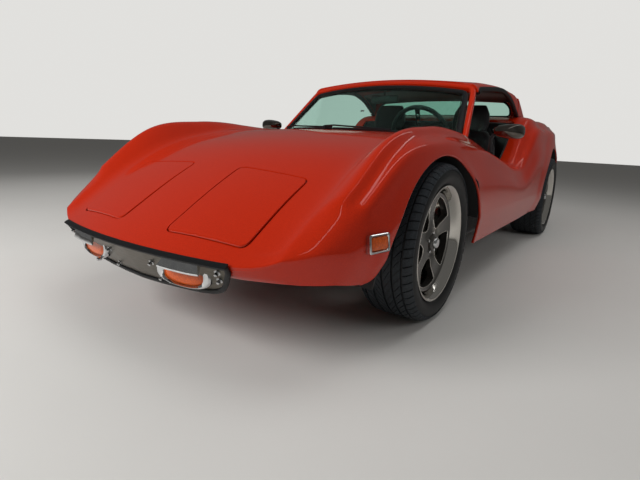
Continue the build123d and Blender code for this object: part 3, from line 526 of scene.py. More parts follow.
def drum(name: str, centre: Sequence[float], axis: Sequence[float], radius: float, length: float,
         end_radius: float | None = None, round_by: float = 0, sides: int = 48) -> bpy.types.Object:
    """Cylinder or cone primitive about an axis, in millimetres.

    Args:
        name: Name of the object.
        centre: Its centre.
        axis: Direction from its first end to its second.
        radius: Radius of the first end.
        length: Length along the axis.
        end_radius: Radius of the second end, the same if not given.
        round_by: Width of the rounding of its edges.
        sides: Faces round it.

    Returns:
        The new object.
    """
    clear_selection()
    bpy.ops.mesh.primitive_cone_add(vertices=sides, radius1=radius * MM,
                                    radius2=(radius if end_radius is None else end_radius) * MM, depth=length * MM)
    obj = bpy.context.object
    obj.name = name
    obj.matrix_world = Matrix.Translation(Vector(centre) * MM) @ facing(axis, "Z")
    settle(obj)
    return soften(obj, round_by, 3) if round_by else obj


def rope(name: str, path: Sequence[Sequence[float]], radius: float, closed: bool = False,
         sides: int = 3) -> bpy.types.Object:
    """Round bar along a path, made as a curve with a round bevel and turned into a mesh.

    Args:
        name: Name of the object.
        path: Points in millimetres.
        radius: Radius of the bar.
        closed: Whether the path is a loop.
        sides: Quarter-circle divisions of the bar.

    Returns:
        The new object.
    """
    curve = bpy.data.curves.new(name, "CURVE")
    curve.dimensions = "3D"
    curve.bevel_depth = radius * MM
    curve.bevel_resolution = sides
    curve.use_fill_caps = True
    spline = curve.splines.new("POLY")
    spline.points.add(len(path) - 1)
    for point, place in zip(spline.points, path):
        point.co = (*(c * MM for c in place), 1)
    spline.use_cyclic_u = closed
    obj = bpy.data.objects.new(name, curve)
    bpy.context.scene.collection.objects.link(obj)
    take(obj)
    bpy.ops.object.convert(target="MESH")
    return shade(outward(obj), 60)


def rounded(corners: Sequence[Sequence[float]], radius: float, steps: int = 6,
            closed: bool = True) -> list[np.ndarray]:
    """Polyline with its corners rounded, in two or three dimensions.

    Args:
        corners: Corners in order.
        radius: Distance from each corner at which its curve starts.
        steps: Parts of each curve.
        closed: Whether the line is a loop.

    Returns:
        Points of the rounded line.
    """
    spots = [np.array(c, float) for c in corners]
    count = len(spots)
    line = []
    for k, spot in enumerate(spots):
        if not closed and k in (0, count - 1):
            line.append(spot)
            continue
        before, after = spots[k - 1], spots[(k + 1) % count]
        reach_in = min(radius, np.linalg.norm(before - spot) / 2)
        reach_out = min(radius, np.linalg.norm(after - spot) / 2)
        start = spot + (before - spot) / np.linalg.norm(before - spot) * reach_in
        end = spot + (after - spot) / np.linalg.norm(after - spot) * reach_out
        for t in np.linspace(0, 1, steps + 1):
            line.append((1 - t) ** 2 * start + 2 * t * (1 - t) * spot + t * t * end)
    return line


def dense(line: Sequence[np.ndarray], step: float, closed: bool = True) -> np.ndarray:
    """Points spread evenly along a polyline.

    Args:
        line: Points of the polyline.
        step: Wanted distance between points.
        closed: Whether the line is a loop.

    Returns:
        The spread points.
    """
    spots = np.array(list(line) + ([line[0]] if closed else []), float)
    along = np.concatenate([[0], np.cumsum(np.linalg.norm(np.diff(spots, axis=0), axis=1))])
    count = max(3, round(along[-1] / step))
    places = np.linspace(0, along[-1], count + 1)[: count if closed else count + 1]
    return np.stack([np.interp(places, along, spots[:, k]) for k in range(spots.shape[1])], axis=1)


def bar_section(half_width: float, half_depth: float, sharpness: float = 3.0,
                count: int = 20) -> list[tuple[float, float]]:
    """Rounded rectangular section of a bar, as points across and up."""
    section = []
    for angle in np.linspace(0, 2 * np.pi, count, endpoint=False):
        c, s = np.cos(angle), np.sin(angle)
        section.append((half_width * np.sign(c) * abs(c) ** (2 / sharpness),
                        half_depth * np.sign(s) * abs(s) ** (2 / sharpness)))
    return section


def unit(rows: np.ndarray) -> np.ndarray:
    """Scale each row to length one."""
    return rows / np.maximum(np.linalg.norm(rows, axis=-1, keepdims=True), 1e-9)


def headings(line: np.ndarray, closed: bool = True) -> np.ndarray:
    """Direction of a line at each of its points."""
    if closed:
        return unit(np.roll(line, -1, axis=0) - np.roll(line, 1, axis=0))
    return unit(np.gradient(line, axis=0))


def edge_normals(line: np.ndarray, closed: bool = True) -> np.ndarray:
    """Sideways direction of a flat line at each point: outwards if it is a loop, or else to its right."""
    along = headings(line, closed)
    normals = np.stack([along[:, 1], -along[:, 0]], axis=1)
    if closed and np.mean(np.sum(normals * (line - line.mean(axis=0)), axis=1)) < 0:
        return -normals
    return normals


def sweep(name: str, path: np.ndarray, up: np.ndarray, section: Sequence[tuple[float, float]],
          loop: bool = False) -> bpy.types.Object:
    """Carry a section along a path.

    Args:
        name: Name of the object.
        path: Points of the path.
        up: Direction of the section's second coordinate at each point.
        section: Points of the section in millimetres.
        loop: Whether the path is a loop.

    Returns:
        The new object.
    """
    across = unit(np.cross(headings(path, loop), up))
    rings = [[place + a * side + b * rise for a, b in section] for place, side, rise in zip(path, across, up)]
    return loft(name, rings, loop=loop)


def mirror_y(rows: Sequence[Sequence[float]]) -> list[tuple[float, ...]]:
    """Points reflected to the other side of the car."""
    return [(p[0], -p[1], *p[2:]) for p in rows]


def dress(obj: bpy.types.Object, finish: Finish, body: str = "root",
          replaces: Sequence[str] = (), angle: float | None = 35) -> bpy.types.Object:
    """Give a finished piece its finish and its body, hide the CAD nodes that it stands for, and report it.

    Args:
        obj: Finished piece.
        finish: Its finish.
        body: Body that it moves with.
        replaces: CAD nodes that it stands for.
        angle: Edges sharper than this stay crisp, or None to leave the shading.

    Returns:
        The same object.
    """
    if angle is not None:
        shade(obj, angle)
    obj.data.materials.clear()
    obj.data.materials.append(finish.material)
    if replaces:
        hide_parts(*replaces)
    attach(obj, body)
    LOG.info("%s: %d faces", obj.name, len(obj.data.polygons))
    return obj


def smooth_step(t: np.ndarray) -> np.ndarray:
    """Ease from zero to one."""
    t = np.clip(t, 0, 1)
    return t * t * (3 - 2 * t)


@dataclass
class Curve:
    """Smooth curve through rows of numbers, each of which starts with its place along the car."""

    rows: Sequence[Sequence[float]]

    def __post_init__(self) -> None:
        """Sort the rows and work out their slopes."""
        table = np.array(sorted(self.rows), float)
        self.places, self.table = table[:, 0], table[:, 1:]
        steps = np.diff(self.places)[:, None]
        chords = np.diff(self.table, axis=0) / steps
        inner = (chords[:-1] * steps[1:] + chords[1:] * steps[:-1]) / (steps[1:] + steps[:-1])
        self.slopes = np.vstack([chords[:1], inner, chords[-1:]])

    def at(self, x: float) -> np.ndarray:
        """Numbers of the curve at any place."""
        k = int(np.clip(np.searchsorted(self.places, x) - 1, 0, len(self.places) - 2))
        step = self.places[k + 1] - self.places[k]
        t = (x - self.places[k]) / step
        a, b, m, n = self.table[k], self.table[k + 1], self.slopes[k] * step, self.slopes[k + 1] * step
        return ((2 * t ** 3 - 3 * t ** 2 + 1) * a + (t ** 3 - 2 * t ** 2 + t) * m
                + (3 * t ** 2 - 2 * t ** 3) * b + (t ** 3 - t ** 2) * n)


@dataclass(frozen=True)
class Arch:
    """Round wheel arch in the side view, with its flare."""

    x: float
    z: float
    radius: float
    inner_y: float
    flare: float = 4.0
    flare_width: float = 50.0

    def bulge(self, x: float, heights: np.ndarray) -> np.ndarray:
        """How far the flank stands out at heights of a station."""
        beyond = np.hypot(x - self.x, heights - self.z) - self.radius
        return self.flare * smooth_step((self.flare_width - beyond) / (0.75 * self.flare_width))


@dataclass
class Skin:
    """Outer surface of the lower body.

    Each station gives the place along X, the height of the centreline, then half-widths and heights
    of the valley beside the wing, the wing's crest, its shoulder, the widest line, the fold and the
    sill.
    """

    stations: Sequence[Sequence[float]] = (
        (2160, 300, 540, 240, 605, 228, 640, 218, 655, 208, 652, 200, 640, 194),
        (1985, 409, 540, 354, 612, 366, 662, 338, 674, 322, 668, 308, 650, 296),
        (1760, 541, 560, 502, 664, 556, 724, 504, 745, 405, 740, 330, 716, 278),
        (1550, 640, 562, 610, 668, 712, 744, 650, 772, 500, 768, 375, 742, 266),
        (1200, 725, 565, 700, 668, 776, 752, 712, 785, 570, 786, 380, 760, 242),
        (770, 755, 570, 740, 672, 756, 748, 690, 792, 540, 790, 378, 762, 240),
        (550, 752, 572, 740, 645, 734, 742, 680, 794, 530, 791, 377, 763, 240),
        (200, 672, 572, 660, 670, 656, 748, 622, 797, 500, 793, 375, 765, 240),
        (-90, 605, 570, 590, 690, 598, 752, 576, 800, 470, 796, 372, 766, 240),
        (-240, 612, 570, 600, 690, 606, 753, 580, 801, 480, 797, 370, 767, 240),
        (-400, 720, 565, 710, 690, 722, 756, 672, 803, 540, 798, 362, 770, 243),
        (-560, 888, 560, 880, 690, 868, 764, 800, 806, 620, 800, 350, 772, 246),
        (-900, 910, 548, 894, 700, 904, 772, 830, 812, 640, 808, 340, 782, 254),
        (-1200, 908, 540, 897, 696, 912, 776, 838, 815, 640, 812, 330, 790, 262),
        (-1700, 880, 530, 872, 655, 905, 728, 828, 760, 640, 756, 390, 730, 310),
        (-2100, 888, 500, 892, 606, 926, 672, 862, 712, 640, 706, 460, 680, 380),
    )
    divisions: Sequence[int] = (14, 7, 8, 8, 6, 4)
    crest_hollow: float = 0.05
    crest_round: float = -0.16
    shoulder_round: float = -0.06
    rounding_passes: int = 3
    arches: Sequence[Arch] = (Arch(1215, 180, 485, 376), Arch(-1200, 285, 430, 482, 9, 150))
    cache: dict = field(default_factory=dict)

    def __post_init__(self) -> None:
        """Run a curve through the stations and number the rows."""
        self.curve = Curve(self.stations)
        self.shoulder_row = sum(self.divisions[:3])
        self.fold_row = sum(self.divisions[:5])
        self.row_count = sum(self.divisions) + 1

    def half(self, x: float) -> np.ndarray:
        """Half of the cross-section at a station, from the centreline down to the sill.

        Args:
            x: Station along the car.

        Returns:
            Rows of Y and Z.
        """
        key = round(x, 3)
        if key in self.cache:
            return self.cache[key]
        v = self.curve.at(x)
        corners = [np.array(p) for p in ((0, v[0]), v[1:3], v[3:5], v[5:7], v[7:9], v[9:11], v[11:13])]
        shares = (0, self.crest_hollow, self.crest_round, self.shoulder_round, 0, 0)
        rows = []
        for number, (start, end, count, share) in enumerate(zip(corners, corners[1:], self.divisions, shares)):
            chord = end - start
            for t in np.arange(count) / count:
                spot = start + t * chord
                if number == 0:
                    spot = np.array([end[0] * t, start[1] + (end[1] - start[1]) * t * t])
                spot = spot + 4 * t * (1 - t) * share * np.array([-chord[1], chord[0]])
                rows.append(spot)
        rows.append(corners[-1])
        rows = np.array(rows)
        last = self.fold_row - 1
        for _ in range(self.rounding_passes):
            wider = np.vstack([rows[1] * (-1, 1), rows])
            rows[:last] = 0.25 * wider[:last] + 0.5 * wider[1:last + 1] + 0.25 * wider[2:last + 2]
            rows[0, 0] = 0
        weight = smooth_step((np.arange(self.row_count) - self.shoulder_row + 6) / 8)
        for arch in self.arches:
            rows[:, 0] += weight * arch.bulge(x, rows[:, 1])
        self.cache[key] = rows
        return rows

    def height(self, x: float, y: float) -> float:
        """Height of the upper surface at a place in plan."""
        rows = self.half(x)[: self.shoulder_row + 4]
        return float(np.interp(abs(y), rows[:, 0], rows[:, 1]))

    def width(self, x: float, z: float) -> float:
        """Half-width of the flank at a height."""
        rows = self.half(x)[self.shoulder_row - 4:]
        return float(np.interp(-z, -rows[:, 1], rows[:, 0]))


@dataclass
class Body:
    """Glass-fibre body: nose, wings, flanks, haunches and tail, with every opening cut in it."""

    skin: Skin
    finishes: Finishes
    front_split: float = 1580
    rear_split: float = -1780
    pitch: float = 22.4
    nose_columns: int = 34
    tail_columns: int = 24
    end_crowding: float = 1.35
    halvings: int = 26
    # Rows reached, least half-width and passes of each smoothing of the lip.
    lip_rounds: Sequence[Sequence[float]] = ((7, 0, 10), (20, 596, 70))
    wall: float = 12
    lip_station: float = 1880
    # Half-widths of the nose's plan outline, and X at each.
    nose_plan: Sequence[Sequence[float]] = ((0, 100, 200, 300, 400, 459, 531, 578, 620, 660, 700, 840),
                                            (2087, 2084.7, 2077.8, 2066.3, 2050, 2036, 2006, 1984, 1960, 1926,
                                             1880, 1670))
    tail_x: float = -2086
    tail_flat: float = 650
    tail_slope: float = 170 / 190
    nose_tuck: float = 44
    cabin_half: float = 604
    # X of the cabin's bowed front edge at the middle and at its ends.
    cabin_front: Sequence[float] = (742, 530)
    cabin_rear: float = -570
    cabin_corner: float = 36
    nose_edge_z: float = 278
    arch_corner: float = 56
    arch_reach: float = 450
    cover_corners: Sequence[Sequence[float]] = ((1670, 130), (2008, 130), (1970, 448), (1670, 448))
    cover_corner: float = 24
    cover_ramp: float = 330
    cover_gap: float = 6
    cover_sink: float = 8
    cover_thickness: float = 6
    cowl_slot: Sequence[Sequence[float]] = ((1100, 562.5), (1100, 566.5), (716, 575), (716, 559))
    lid_gap: float = 4.5
    lid_corners: Sequence[Sequence[float]] = ((-710, -440), (-710, 440), (-1846, 470), (-1846, -470))
    lid_corner: float = 44
    lid_sink: float = 6.2
    louvre_places: Sequence[float] = tuple(-1130 + 46 * (number - 3.5) for number in range(8))
    louvre_half: float = 206

    def nose_line(self, y: float) -> float:
        """Plan outline of the nose: X at a half-width."""
        return float(np.interp(abs(y), *self.nose_plan))

    def tail_line(self, y: float) -> float:
        """Plan outline of the tail: X at a half-width."""
        return self.tail_x + max(0.0, abs(y) - self.tail_flat) * self.tail_slope

    def row_end(self, row: int, line: Callable[[float], float], low: float, high: float) -> float:
        """Station where a row of the skin meets a plan outline.

        Args:
            row: Number of the row.
            line: Plan outline.
            low: Lowest station searched.
            high: Highest station searched.

        Returns:
            The station.
        """
        sign = 1 if low - line(self.skin.half(low)[row, 0]) < 0 else -1
        for _ in range(self.halvings):
            middle = (low + high) / 2
            if sign * (middle - line(self.skin.half(middle)[row, 0])) < 0:
                low = middle
            else:
                high = middle
        return (low + high) / 2

    def falls(self) -> np.ndarray:
        """How far down from the shoulder to the sill each row lies at the nose, as a share."""
        corner = self.skin.shoulder_row
        heights = self.skin.half(self.lip_station)[:, 1]
        share = (heights[corner] - heights) / (heights[corner] - heights[-1])
        share[:corner + 1] = 0
        return share ** 2

    def columns(self) -> list[np.ndarray]:
        """Columns of the half grid from tail to nose, each with one X, Y, Z row per skin row."""
        rows = range(self.skin.row_count)
        tucks = self.nose_tuck * self.falls()
        tails = np.array([self.row_end(r, self.tail_line, -2099, -1700) for r in rows])
        noses = np.array([self.row_end(r, lambda y: self.nose_line(y) - tucks[r], 1640, 2150) for r in rows])

        def crowded(count: int) -> list[float]:
            return [1 - (1 - k / count) ** self.end_crowding for k in range(1, count + 1)]

        places = [self.rear_split + (tails - self.rear_split) * t for t in crowded(self.tail_columns)[::-1]]
        count = round((self.front_split - self.rear_split) / self.pitch)
        places += [np.full(len(tails), x) for x in np.linspace(self.rear_split, self.front_split, count + 1)]
        places += [self.front_split + (noses - self.front_split) * t for t in crowded(self.nose_columns)]
        return [np.array([(x, *self.skin.half(x)[r]) for r, x in zip(rows, column)]) for column in places]

    def shell(self) -> bpy.types.Object:
        """Outer skin with its nose and tail closed, given a wall."""
        grid = self.columns()
        rows = self.skin.row_count
        full = 2 * rows - 1
        points = []
        for column in grid:
            points += [(x, -y, z) for x, y, z in column[:0:-1]] + [tuple(p) for p in column]
        faces = []
        for i in range(len(grid) - 1):
            for r in range(full - 1):
                a, b = i * full + r, (i + 1) * full + r
                faces.append((a, a + 1, b + 1, b))
        nets = []
        last = len(grid) - 1
        for column, end, line, tuck in ((0, -1, self.tail_line, 0), (last, 1, self.nose_line, self.nose_tuck)):
            net = self.close_end(points, faces, grid[column], column * full, end, line, tuck)
            nets.append((column, end, net))
        shell = face_out(mesh_piece("lower_body", points, faces), axis=2)
        work = bmesh.new()
        work.from_mesh(shell.data)
        work.verts.ensure_lookup_table()
        for reach, limit, passes in self.lip_rounds:
            near = set()
            for column, end, net in nets:
                near.update(number for (_, k), number in net.items() if k < reach)
                near.update((column - end * step) * full + r for step in range(reach) for r in range(full))
            lip = [v for v in (work.verts[k] for k in near) if not v.is_boundary and abs(v.co.y) >= limit * MM
                   and (limit == 0 or v.co.x > 0)]
            for _ in range(passes):
                bmesh.ops.smooth_vert(work, verts=lip, factor=0.5, use_axis_x=True, use_axis_y=True, use_axis_z=True)
        work.to_mesh(shell.data)
        work.free()
        finish_with(shell, "SOLIDIFY", thickness=self.wall * MM, offset=-1, use_even_offset=False)
        return shell

    def close_end(self, points: list, faces: list, column: np.ndarray, first: int, end: int,
                  line: Callable[[float], float], tuck: float) -> dict:
        """Close the nose or tail with a wall that falls from the lip.

        Args:
            points: Points of the shell, extended here.
            faces: Faces of the shell, extended here.
            column: Half column at that end.
            first: Number of that column's first point.
            end: One at the nose and minus one at the tail.
            line: Plan outline.
            tuck: How far the wall's foot is drawn back.

        Returns:
            Numbers of the wall's points by place along the lip and step down.
        """
        rows, corner = self.skin.row_count, self.skin.shoulder_row
        depth = rows - 1 - corner
        heights = column[corner:, 2]
        share = (heights[0] - heights) / (heights[0] - heights[-1])
        backs = tuck * self.falls()[corner:]
        middle = rows - 1
        net = {}
        for j in range(-corner, corner + 1):
            y, z = column[abs(j)][1:]
            net[j, 0] = first + middle + j
            for k in range(1, depth + 1):
                if abs(j) == corner:
                    net[j, k] = first + middle + (j + k if j > 0 else j - k)
                    continue
                y_side = y if j >= 0 else -y
                points.append((line(y) - end * backs[k], y_side, z + (heights[-1] - z) * share[k]))
                net[j, k] = len(points) - 1
        for j in range(-corner, corner):
            for k in range(depth):
                quad = (net[j, k], net[j + 1, k], net[j + 1, k + 1], net[j, k + 1])
                faces.append(quad if end > 0 else quad[::-1])
        return net

    def outline(self, corners: Sequence[Sequence[float]], radius: float, grow: float, side: int = 1) -> np.ndarray:
        """Rounded plan outline of a panel, grown by a margin and moved to a side."""
        line = dense(rounded([(x, side * y) for x, y in corners], radius), 12)
        return line + grow * edge_normals(line)

    def prism_on_skin(self, name: str, outline: np.ndarray, low: float, high: float) -> bpy.types.Object:
        """Closed cutter over a plan outline, with its foot and top at offsets from the skin."""
        centre = outline.mean(axis=0)
        rings = []
        for scale in (0.02, 0.25, 0.5, 0.75, 1.0):
            rings.append([(x, y, self.skin.height(x, y) + low) for x, y in centre + (outline - centre) * scale])
        for scale in (1.0, 0.02):
            rings.append([(x, y, self.skin.height(x, y) + high) for x, y in centre + (outline - centre) * scale])
        return loft(name, rings)

    def panel(self, name: str, outline: np.ndarray, top: Callable[[float, float], float], thickness: float,
              edge: float) -> bpy.types.Object:
        """Raised panel that follows the skin, with a rounded rim.

        Args:
            name: Name of the piece.
            outline: Plan outline.
            top: Height of its top above the skin at a place in plan.
            thickness: Its thickness.
            edge: Radius of its upper rim.

        Returns:
            The panel.
        """
        centre = outline.mean(axis=0)
        inward = -edge_normals(outline)

        def ring(line: np.ndarray, drop: float) -> list[tuple[float, float, float]]:
            return [(x, y, self.skin.height(x, y) + top(x, y) - drop) for x, y in line]

        rings = [ring(centre + (outline - centre) * 0.05, thickness), ring(outline, thickness)]
        for angle in np.linspace(0, np.pi / 2, 5):
            rings.append(ring(outline + inward * edge * (1 - math.cos(angle)), edge * (1 - math.sin(angle))))
        rim = outline + inward * edge
        for scale in (0.97, 0.92, 0.84, 0.74, 0.63, 0.52, 0.41, 0.3, 0.2, 0.1, 0.03):
            rings.append(ring(centre + (rim - centre) * scale, 0))
        return loft(name, rings)

    def cover_top(self, x: float, y: float) -> float:
        """Height of a headlamp cover above the skin: flush behind and proud in front and outside."""
        (rear_x, inner_y), _, (_, outer_y), _ = self.cover_corners
        along = min(1.0, max(0.0, (x - rear_x) / self.cover_ramp))
        across = min(1.0, max(0.0, (abs(y) - inner_y) / (outer_y - inner_y)))
        return 0.5 + 2.5 * along + 1.2 * across + along * across

    def corner_bend(self) -> list[tuple[float, float]]:
        """Fillet between the lower edge and the front arch in the side view, from the edge upwards."""
        arch = self.skin.arches[0]
        start = arch.x + math.sqrt(arch.radius ** 2 - (self.nose_edge_z - arch.z) ** 2)
        return [(start + (1 - t) ** 2 * self.arch_corner - t * t * 10, self.nose_edge_z + t * t * self.arch_corner)
                for t in np.linspace(0, 1, 9)]

    def cutters(self) -> list[bpy.types.Object]:
        """Closed cutters for the arches, the cabin, the lamp bays and the engine bay."""
        tools = []
        for arch in self.skin.arches:
            for side in Side:
                middle = (arch.x, side.value * (arch.inner_y + self.arch_reach / 2), arch.z)
                tools.append(drum("arch_cutter", middle, (0, 1, 0), arch.radius, self.arch_reach, sides=128))
        bend = self.corner_bend()
        inside_x, below = bend[-1][0] - 50, 200
        wedge = [(bend[0][0], below), *bend, (inside_x, bend[-1][1]), (inside_x, below)]
        for side in Side:
            tools.append(loft("corner_cutter", [[(x, side.value * y, z) for x, z in wedge] for y in (500, 950)]))
        half, rear, (middle_x, corner_x) = self.cabin_half, self.cabin_rear, self.cabin_front
        bow = [(middle_x - (middle_x - corner_x) * (y / half) ** 2, y) for y in np.linspace(-half, half, 33)]
        corners = rounded([(corner_x, half), (rear, half), (rear, -half), (corner_x, -half)], self.cabin_corner)
        plan = bow + [tuple(p) for p in corners[7:21]]
        tools.append(loft("cabin_cutter", [[(x, y, z) for x, y in plan] for z in (120, 1300)]))
        for side in Side:
            opening = self.outline(self.cover_corners, self.cover_corner, self.cover_gap, side.value)
            tools.append(self.prism_on_skin("cover_cutter", opening, -self.cover_sink, 40))
            slot = dense([(x, side.value * y) for x, y in self.cowl_slot], 14)
            tools.append(self.prism_on_skin("slot_cutter", slot, -9, 30))
        opening, inner = (self.outline(self.lid_corners, self.lid_corner, grow) for grow in (self.lid_gap, -20))
        tools.append(self.prism_on_skin("lid_cutter", opening, -self.lid_sink, 40))
        tools.append(loft("engine_bay_cutter", [[(x, y, z) for x, y in inner] for z in (700, 1100)]))
        return tools

    def build(self) -> None:
        """Build the shell, its covers, its lid and the lips of its arches."""
        paint = self.finishes.paint
        shell = self.shell()
        for cutter in self.cutters():
            cut(shell, cutter)
        dress(shell, paint, replaces=("front_body", "side_panels", "rear_body"), angle=45)
        for side in Side:
            line = self.outline(self.cover_corners, self.cover_corner, 0, side.value)
            name = f"cover_{side.label}"
            cover = self.panel(f"{name}_panel", line, self.cover_top, self.cover_thickness, 2.5)
            dress(cover, paint, name, (name,), angle=50)
        lid = self.panel("engine_lid_panel", self.outline(self.lid_corners, self.lid_corner, 0), lambda x, y: 6, 12, 4)
        for x in self.louvre_places:
            cut(lid, block("louvre_cutter", (x, 0, 900), (18, 420, 120), 8))
        dress(lid, paint, "engine_lid", ("engine_lid",), angle=40)
        self.louvres()
        self.arch_lips()

    def louvres(self) -> None:
        """Hooded slats over the slots of the engine lid."""
        section = ((16, 0, 0), (10, 0.55, 0), (-4, 0.95, 0), (-12, 1, 0), (-12, 1, -3), (-3, 0.95, -3.2),
                   (8, 0.4, -2), (11, 0, -2))
        slats = []
        for x in self.louvre_places:
            rings = []
            for y in np.linspace(-self.louvre_half, self.louvre_half, 21):
                z = self.skin.height(x, y) + 5
                rise = 13 * (1 - (abs(y) / self.louvre_half) ** 6) + 0.5
                rings.append([(x + ahead, y, z + share * rise + lift) for ahead, share, lift in section])
            slats.append(loft("slat", rings))
        dress(joined("engine_lid_louvres", slats), self.finishes.paint, "engine_lid")

    def arch_lips(self) -> None:
        """Rolled lips round the wheel arches."""
        front, rear = self.skin.arches
        for arch, label, ends, bend in ((front, "front", (336, 252), self.corner_bend()[:-1]),
                                        (rear, "rear", (262, 262), [])):
            ahead, behind = (math.asin((low - arch.z) / arch.radius) for low in ends)
            spots = bend + [(arch.x + arch.radius * math.cos(angle), arch.z + arch.radius * math.sin(angle))
                            for angle in np.linspace(ahead, math.pi - behind, 90)]
            for side in Side:
                path = [(x, side.value * (self.skin.width(x, z) - 5.5), z) for x, z in spots]
                lip = rope(f"{label}_arch_lip_{side.label}", path, 6)
                dress(lip, self.finishes.paint, angle=None)


@dataclass
class Studio:
    """Plain pale floor, soft light and a camera at the photograph's viewing angle."""

    camera_place: Sequence[float] = (2.8511, 1.3237, 0.6998)
    yaw: float = 214.68
    pitch: float = -13.07
    roll: float = 2.62
    lens: float = 24.41
    floor_tone: str = "#D6D4D0"
    mirrored_share: float = 0.03
    # Name, place, target, width and height, and power of each lamp. Only the last one is seen in the lacquer.
    lamps: Sequence[tuple] = (
        ("key_lamp", (5.0, -1.7, 2.5), (0.8, 0, 0.4), (2.6, 2.0), 190),
        ("overhead_lamp", (0.8, 0.2, 4.2), (0, 0, 0.5), (3.4, 2.6), 36),
        ("side_lamp", (0.6, 4.6, 2.8), (-0.2, 0, 0.5), (4.0, 1.8), 38),
        ("far_side_lamp", (-0.5, -4.6, 3.0), (0, 0, 0.6), (4.0, 1.8), 25),
        ("rear_lamp", (-2.6, 1.6, 4.2), (-1.2, 0, 0.4), (3.0, 1.4), 30),
        ("highlight_strip_lamp", (0.2, 1.3, 3.6), (0.2, 0, 0.6), (7.0, 0.14), 8, True),
    )

    def camera(self) -> None:
        """Place the camera and make it the scene's own."""
        yaw, pitch, roll = (math.radians(a) for a in (self.yaw, self.pitch, self.roll))
        ahead = Vector((math.cos(pitch) * math.cos(yaw), math.cos(pitch) * math.sin(yaw), math.sin(pitch)))
        right = ahead.cross(Vector((0, 0, 1))).normalized()
        above = right.cross(ahead)
        across = math.cos(roll) * right + math.sin(roll) * above
        upward = -math.sin(roll) * right + math.cos(roll) * above
        data = bpy.data.cameras.new("camera")
        data.lens, data.sensor_width = self.lens, 36
        data.clip_start, data.clip_end = 0.05, 100
        view = bpy.data.objects.new("camera", data)
        turn = Matrix((across, upward, -ahead)).transposed().to_4x4()
        view.matrix_world = Matrix.Translation(Vector(self.camera_place)) @ turn
        bpy.context.scene.collection.objects.link(view)
        bpy.context.scene.camera = view

    def lamp(self, name: str, place: Sequence[float], target: Sequence[float], size: Sequence[float], power: float,
             mirrored: bool = False) -> None:
        """Hang one rectangular soft lamp that points at a target.

        Args:
            name: Name of the lamp.
            place: Its middle.
            target: Point that it faces.
            size: Its width and height.
            power: Its power in watts.
            mirrored: Whether bright surfaces show its image.
        """
        data = bpy.data.lights.new(name, "AREA")
        data.shape, data.size, data.size_y = "RECTANGLE", *size
        data.energy = power
        lamp = bpy.data.objects.new(name, data)
        lamp.visible_glossy = mirrored
        lamp.matrix_world = Matrix.Translation(Vector(place)) @ facing(Vector(target) - Vector(place), "-Z")
        bpy.context.scene.collection.objects.link(lamp)

    def build(self) -> None:
        """Build the floor, the lamps, the world and the camera."""
        clear_selection()
        bpy.ops.mesh.primitive_plane_add(size=60)
        floor = bpy.context.object
        floor.name = "floor"
        material, tree, shader = new_surface("pale_floor", {"Roughness": 0.75})
        grain = object_grain(tree, 0.4)
        tree.links.new(tint(tree, grain, [(0.0, "#D3D1CD"), (1.0, self.floor_tone)]), shader.inputs["Base Color"])
        floor.data.materials.append(material)
        for settings in self.lamps:
            self.lamp(*settings)
        world = bpy.data.worlds.new("studio")
        bpy.context.scene.world = world
        world.use_nodes = True
        nodes = world.node_tree
        nodes.nodes.clear()
        path = add_node(nodes, "ShaderNodeLightPath")
        seen = add_node(nodes, "ShaderNodeMath", {"operation": "MAXIMUM"},
                        {0: path.outputs["Is Camera Ray"], 1: path.outputs["Is Transmission Ray"]})
        mirrored = add_node(nodes, "ShaderNodeMath", {"operation": "MULTIPLY_ADD", "use_clamp": True},
                            {0: path.outputs["Is Glossy Ray"], 1: self.mirrored_share, 2: seen.outputs[0]})
        strength = add_node(nodes, "ShaderNodeMapRange",
                            inputs={"Value": mirrored.outputs[0], "To Min": 0.12, "To Max": 0.85})
        backdrop = add_node(nodes, "ShaderNodeBackground",
                            inputs={"Color": linear("#F2F1EE"), "Strength": strength.outputs[0]})
        add_node(nodes, "ShaderNodeOutputWorld", inputs={"Surface": backdrop.outputs[0]})
        bpy.context.scene.view_settings.view_transform = "Standard"
        self.camera()


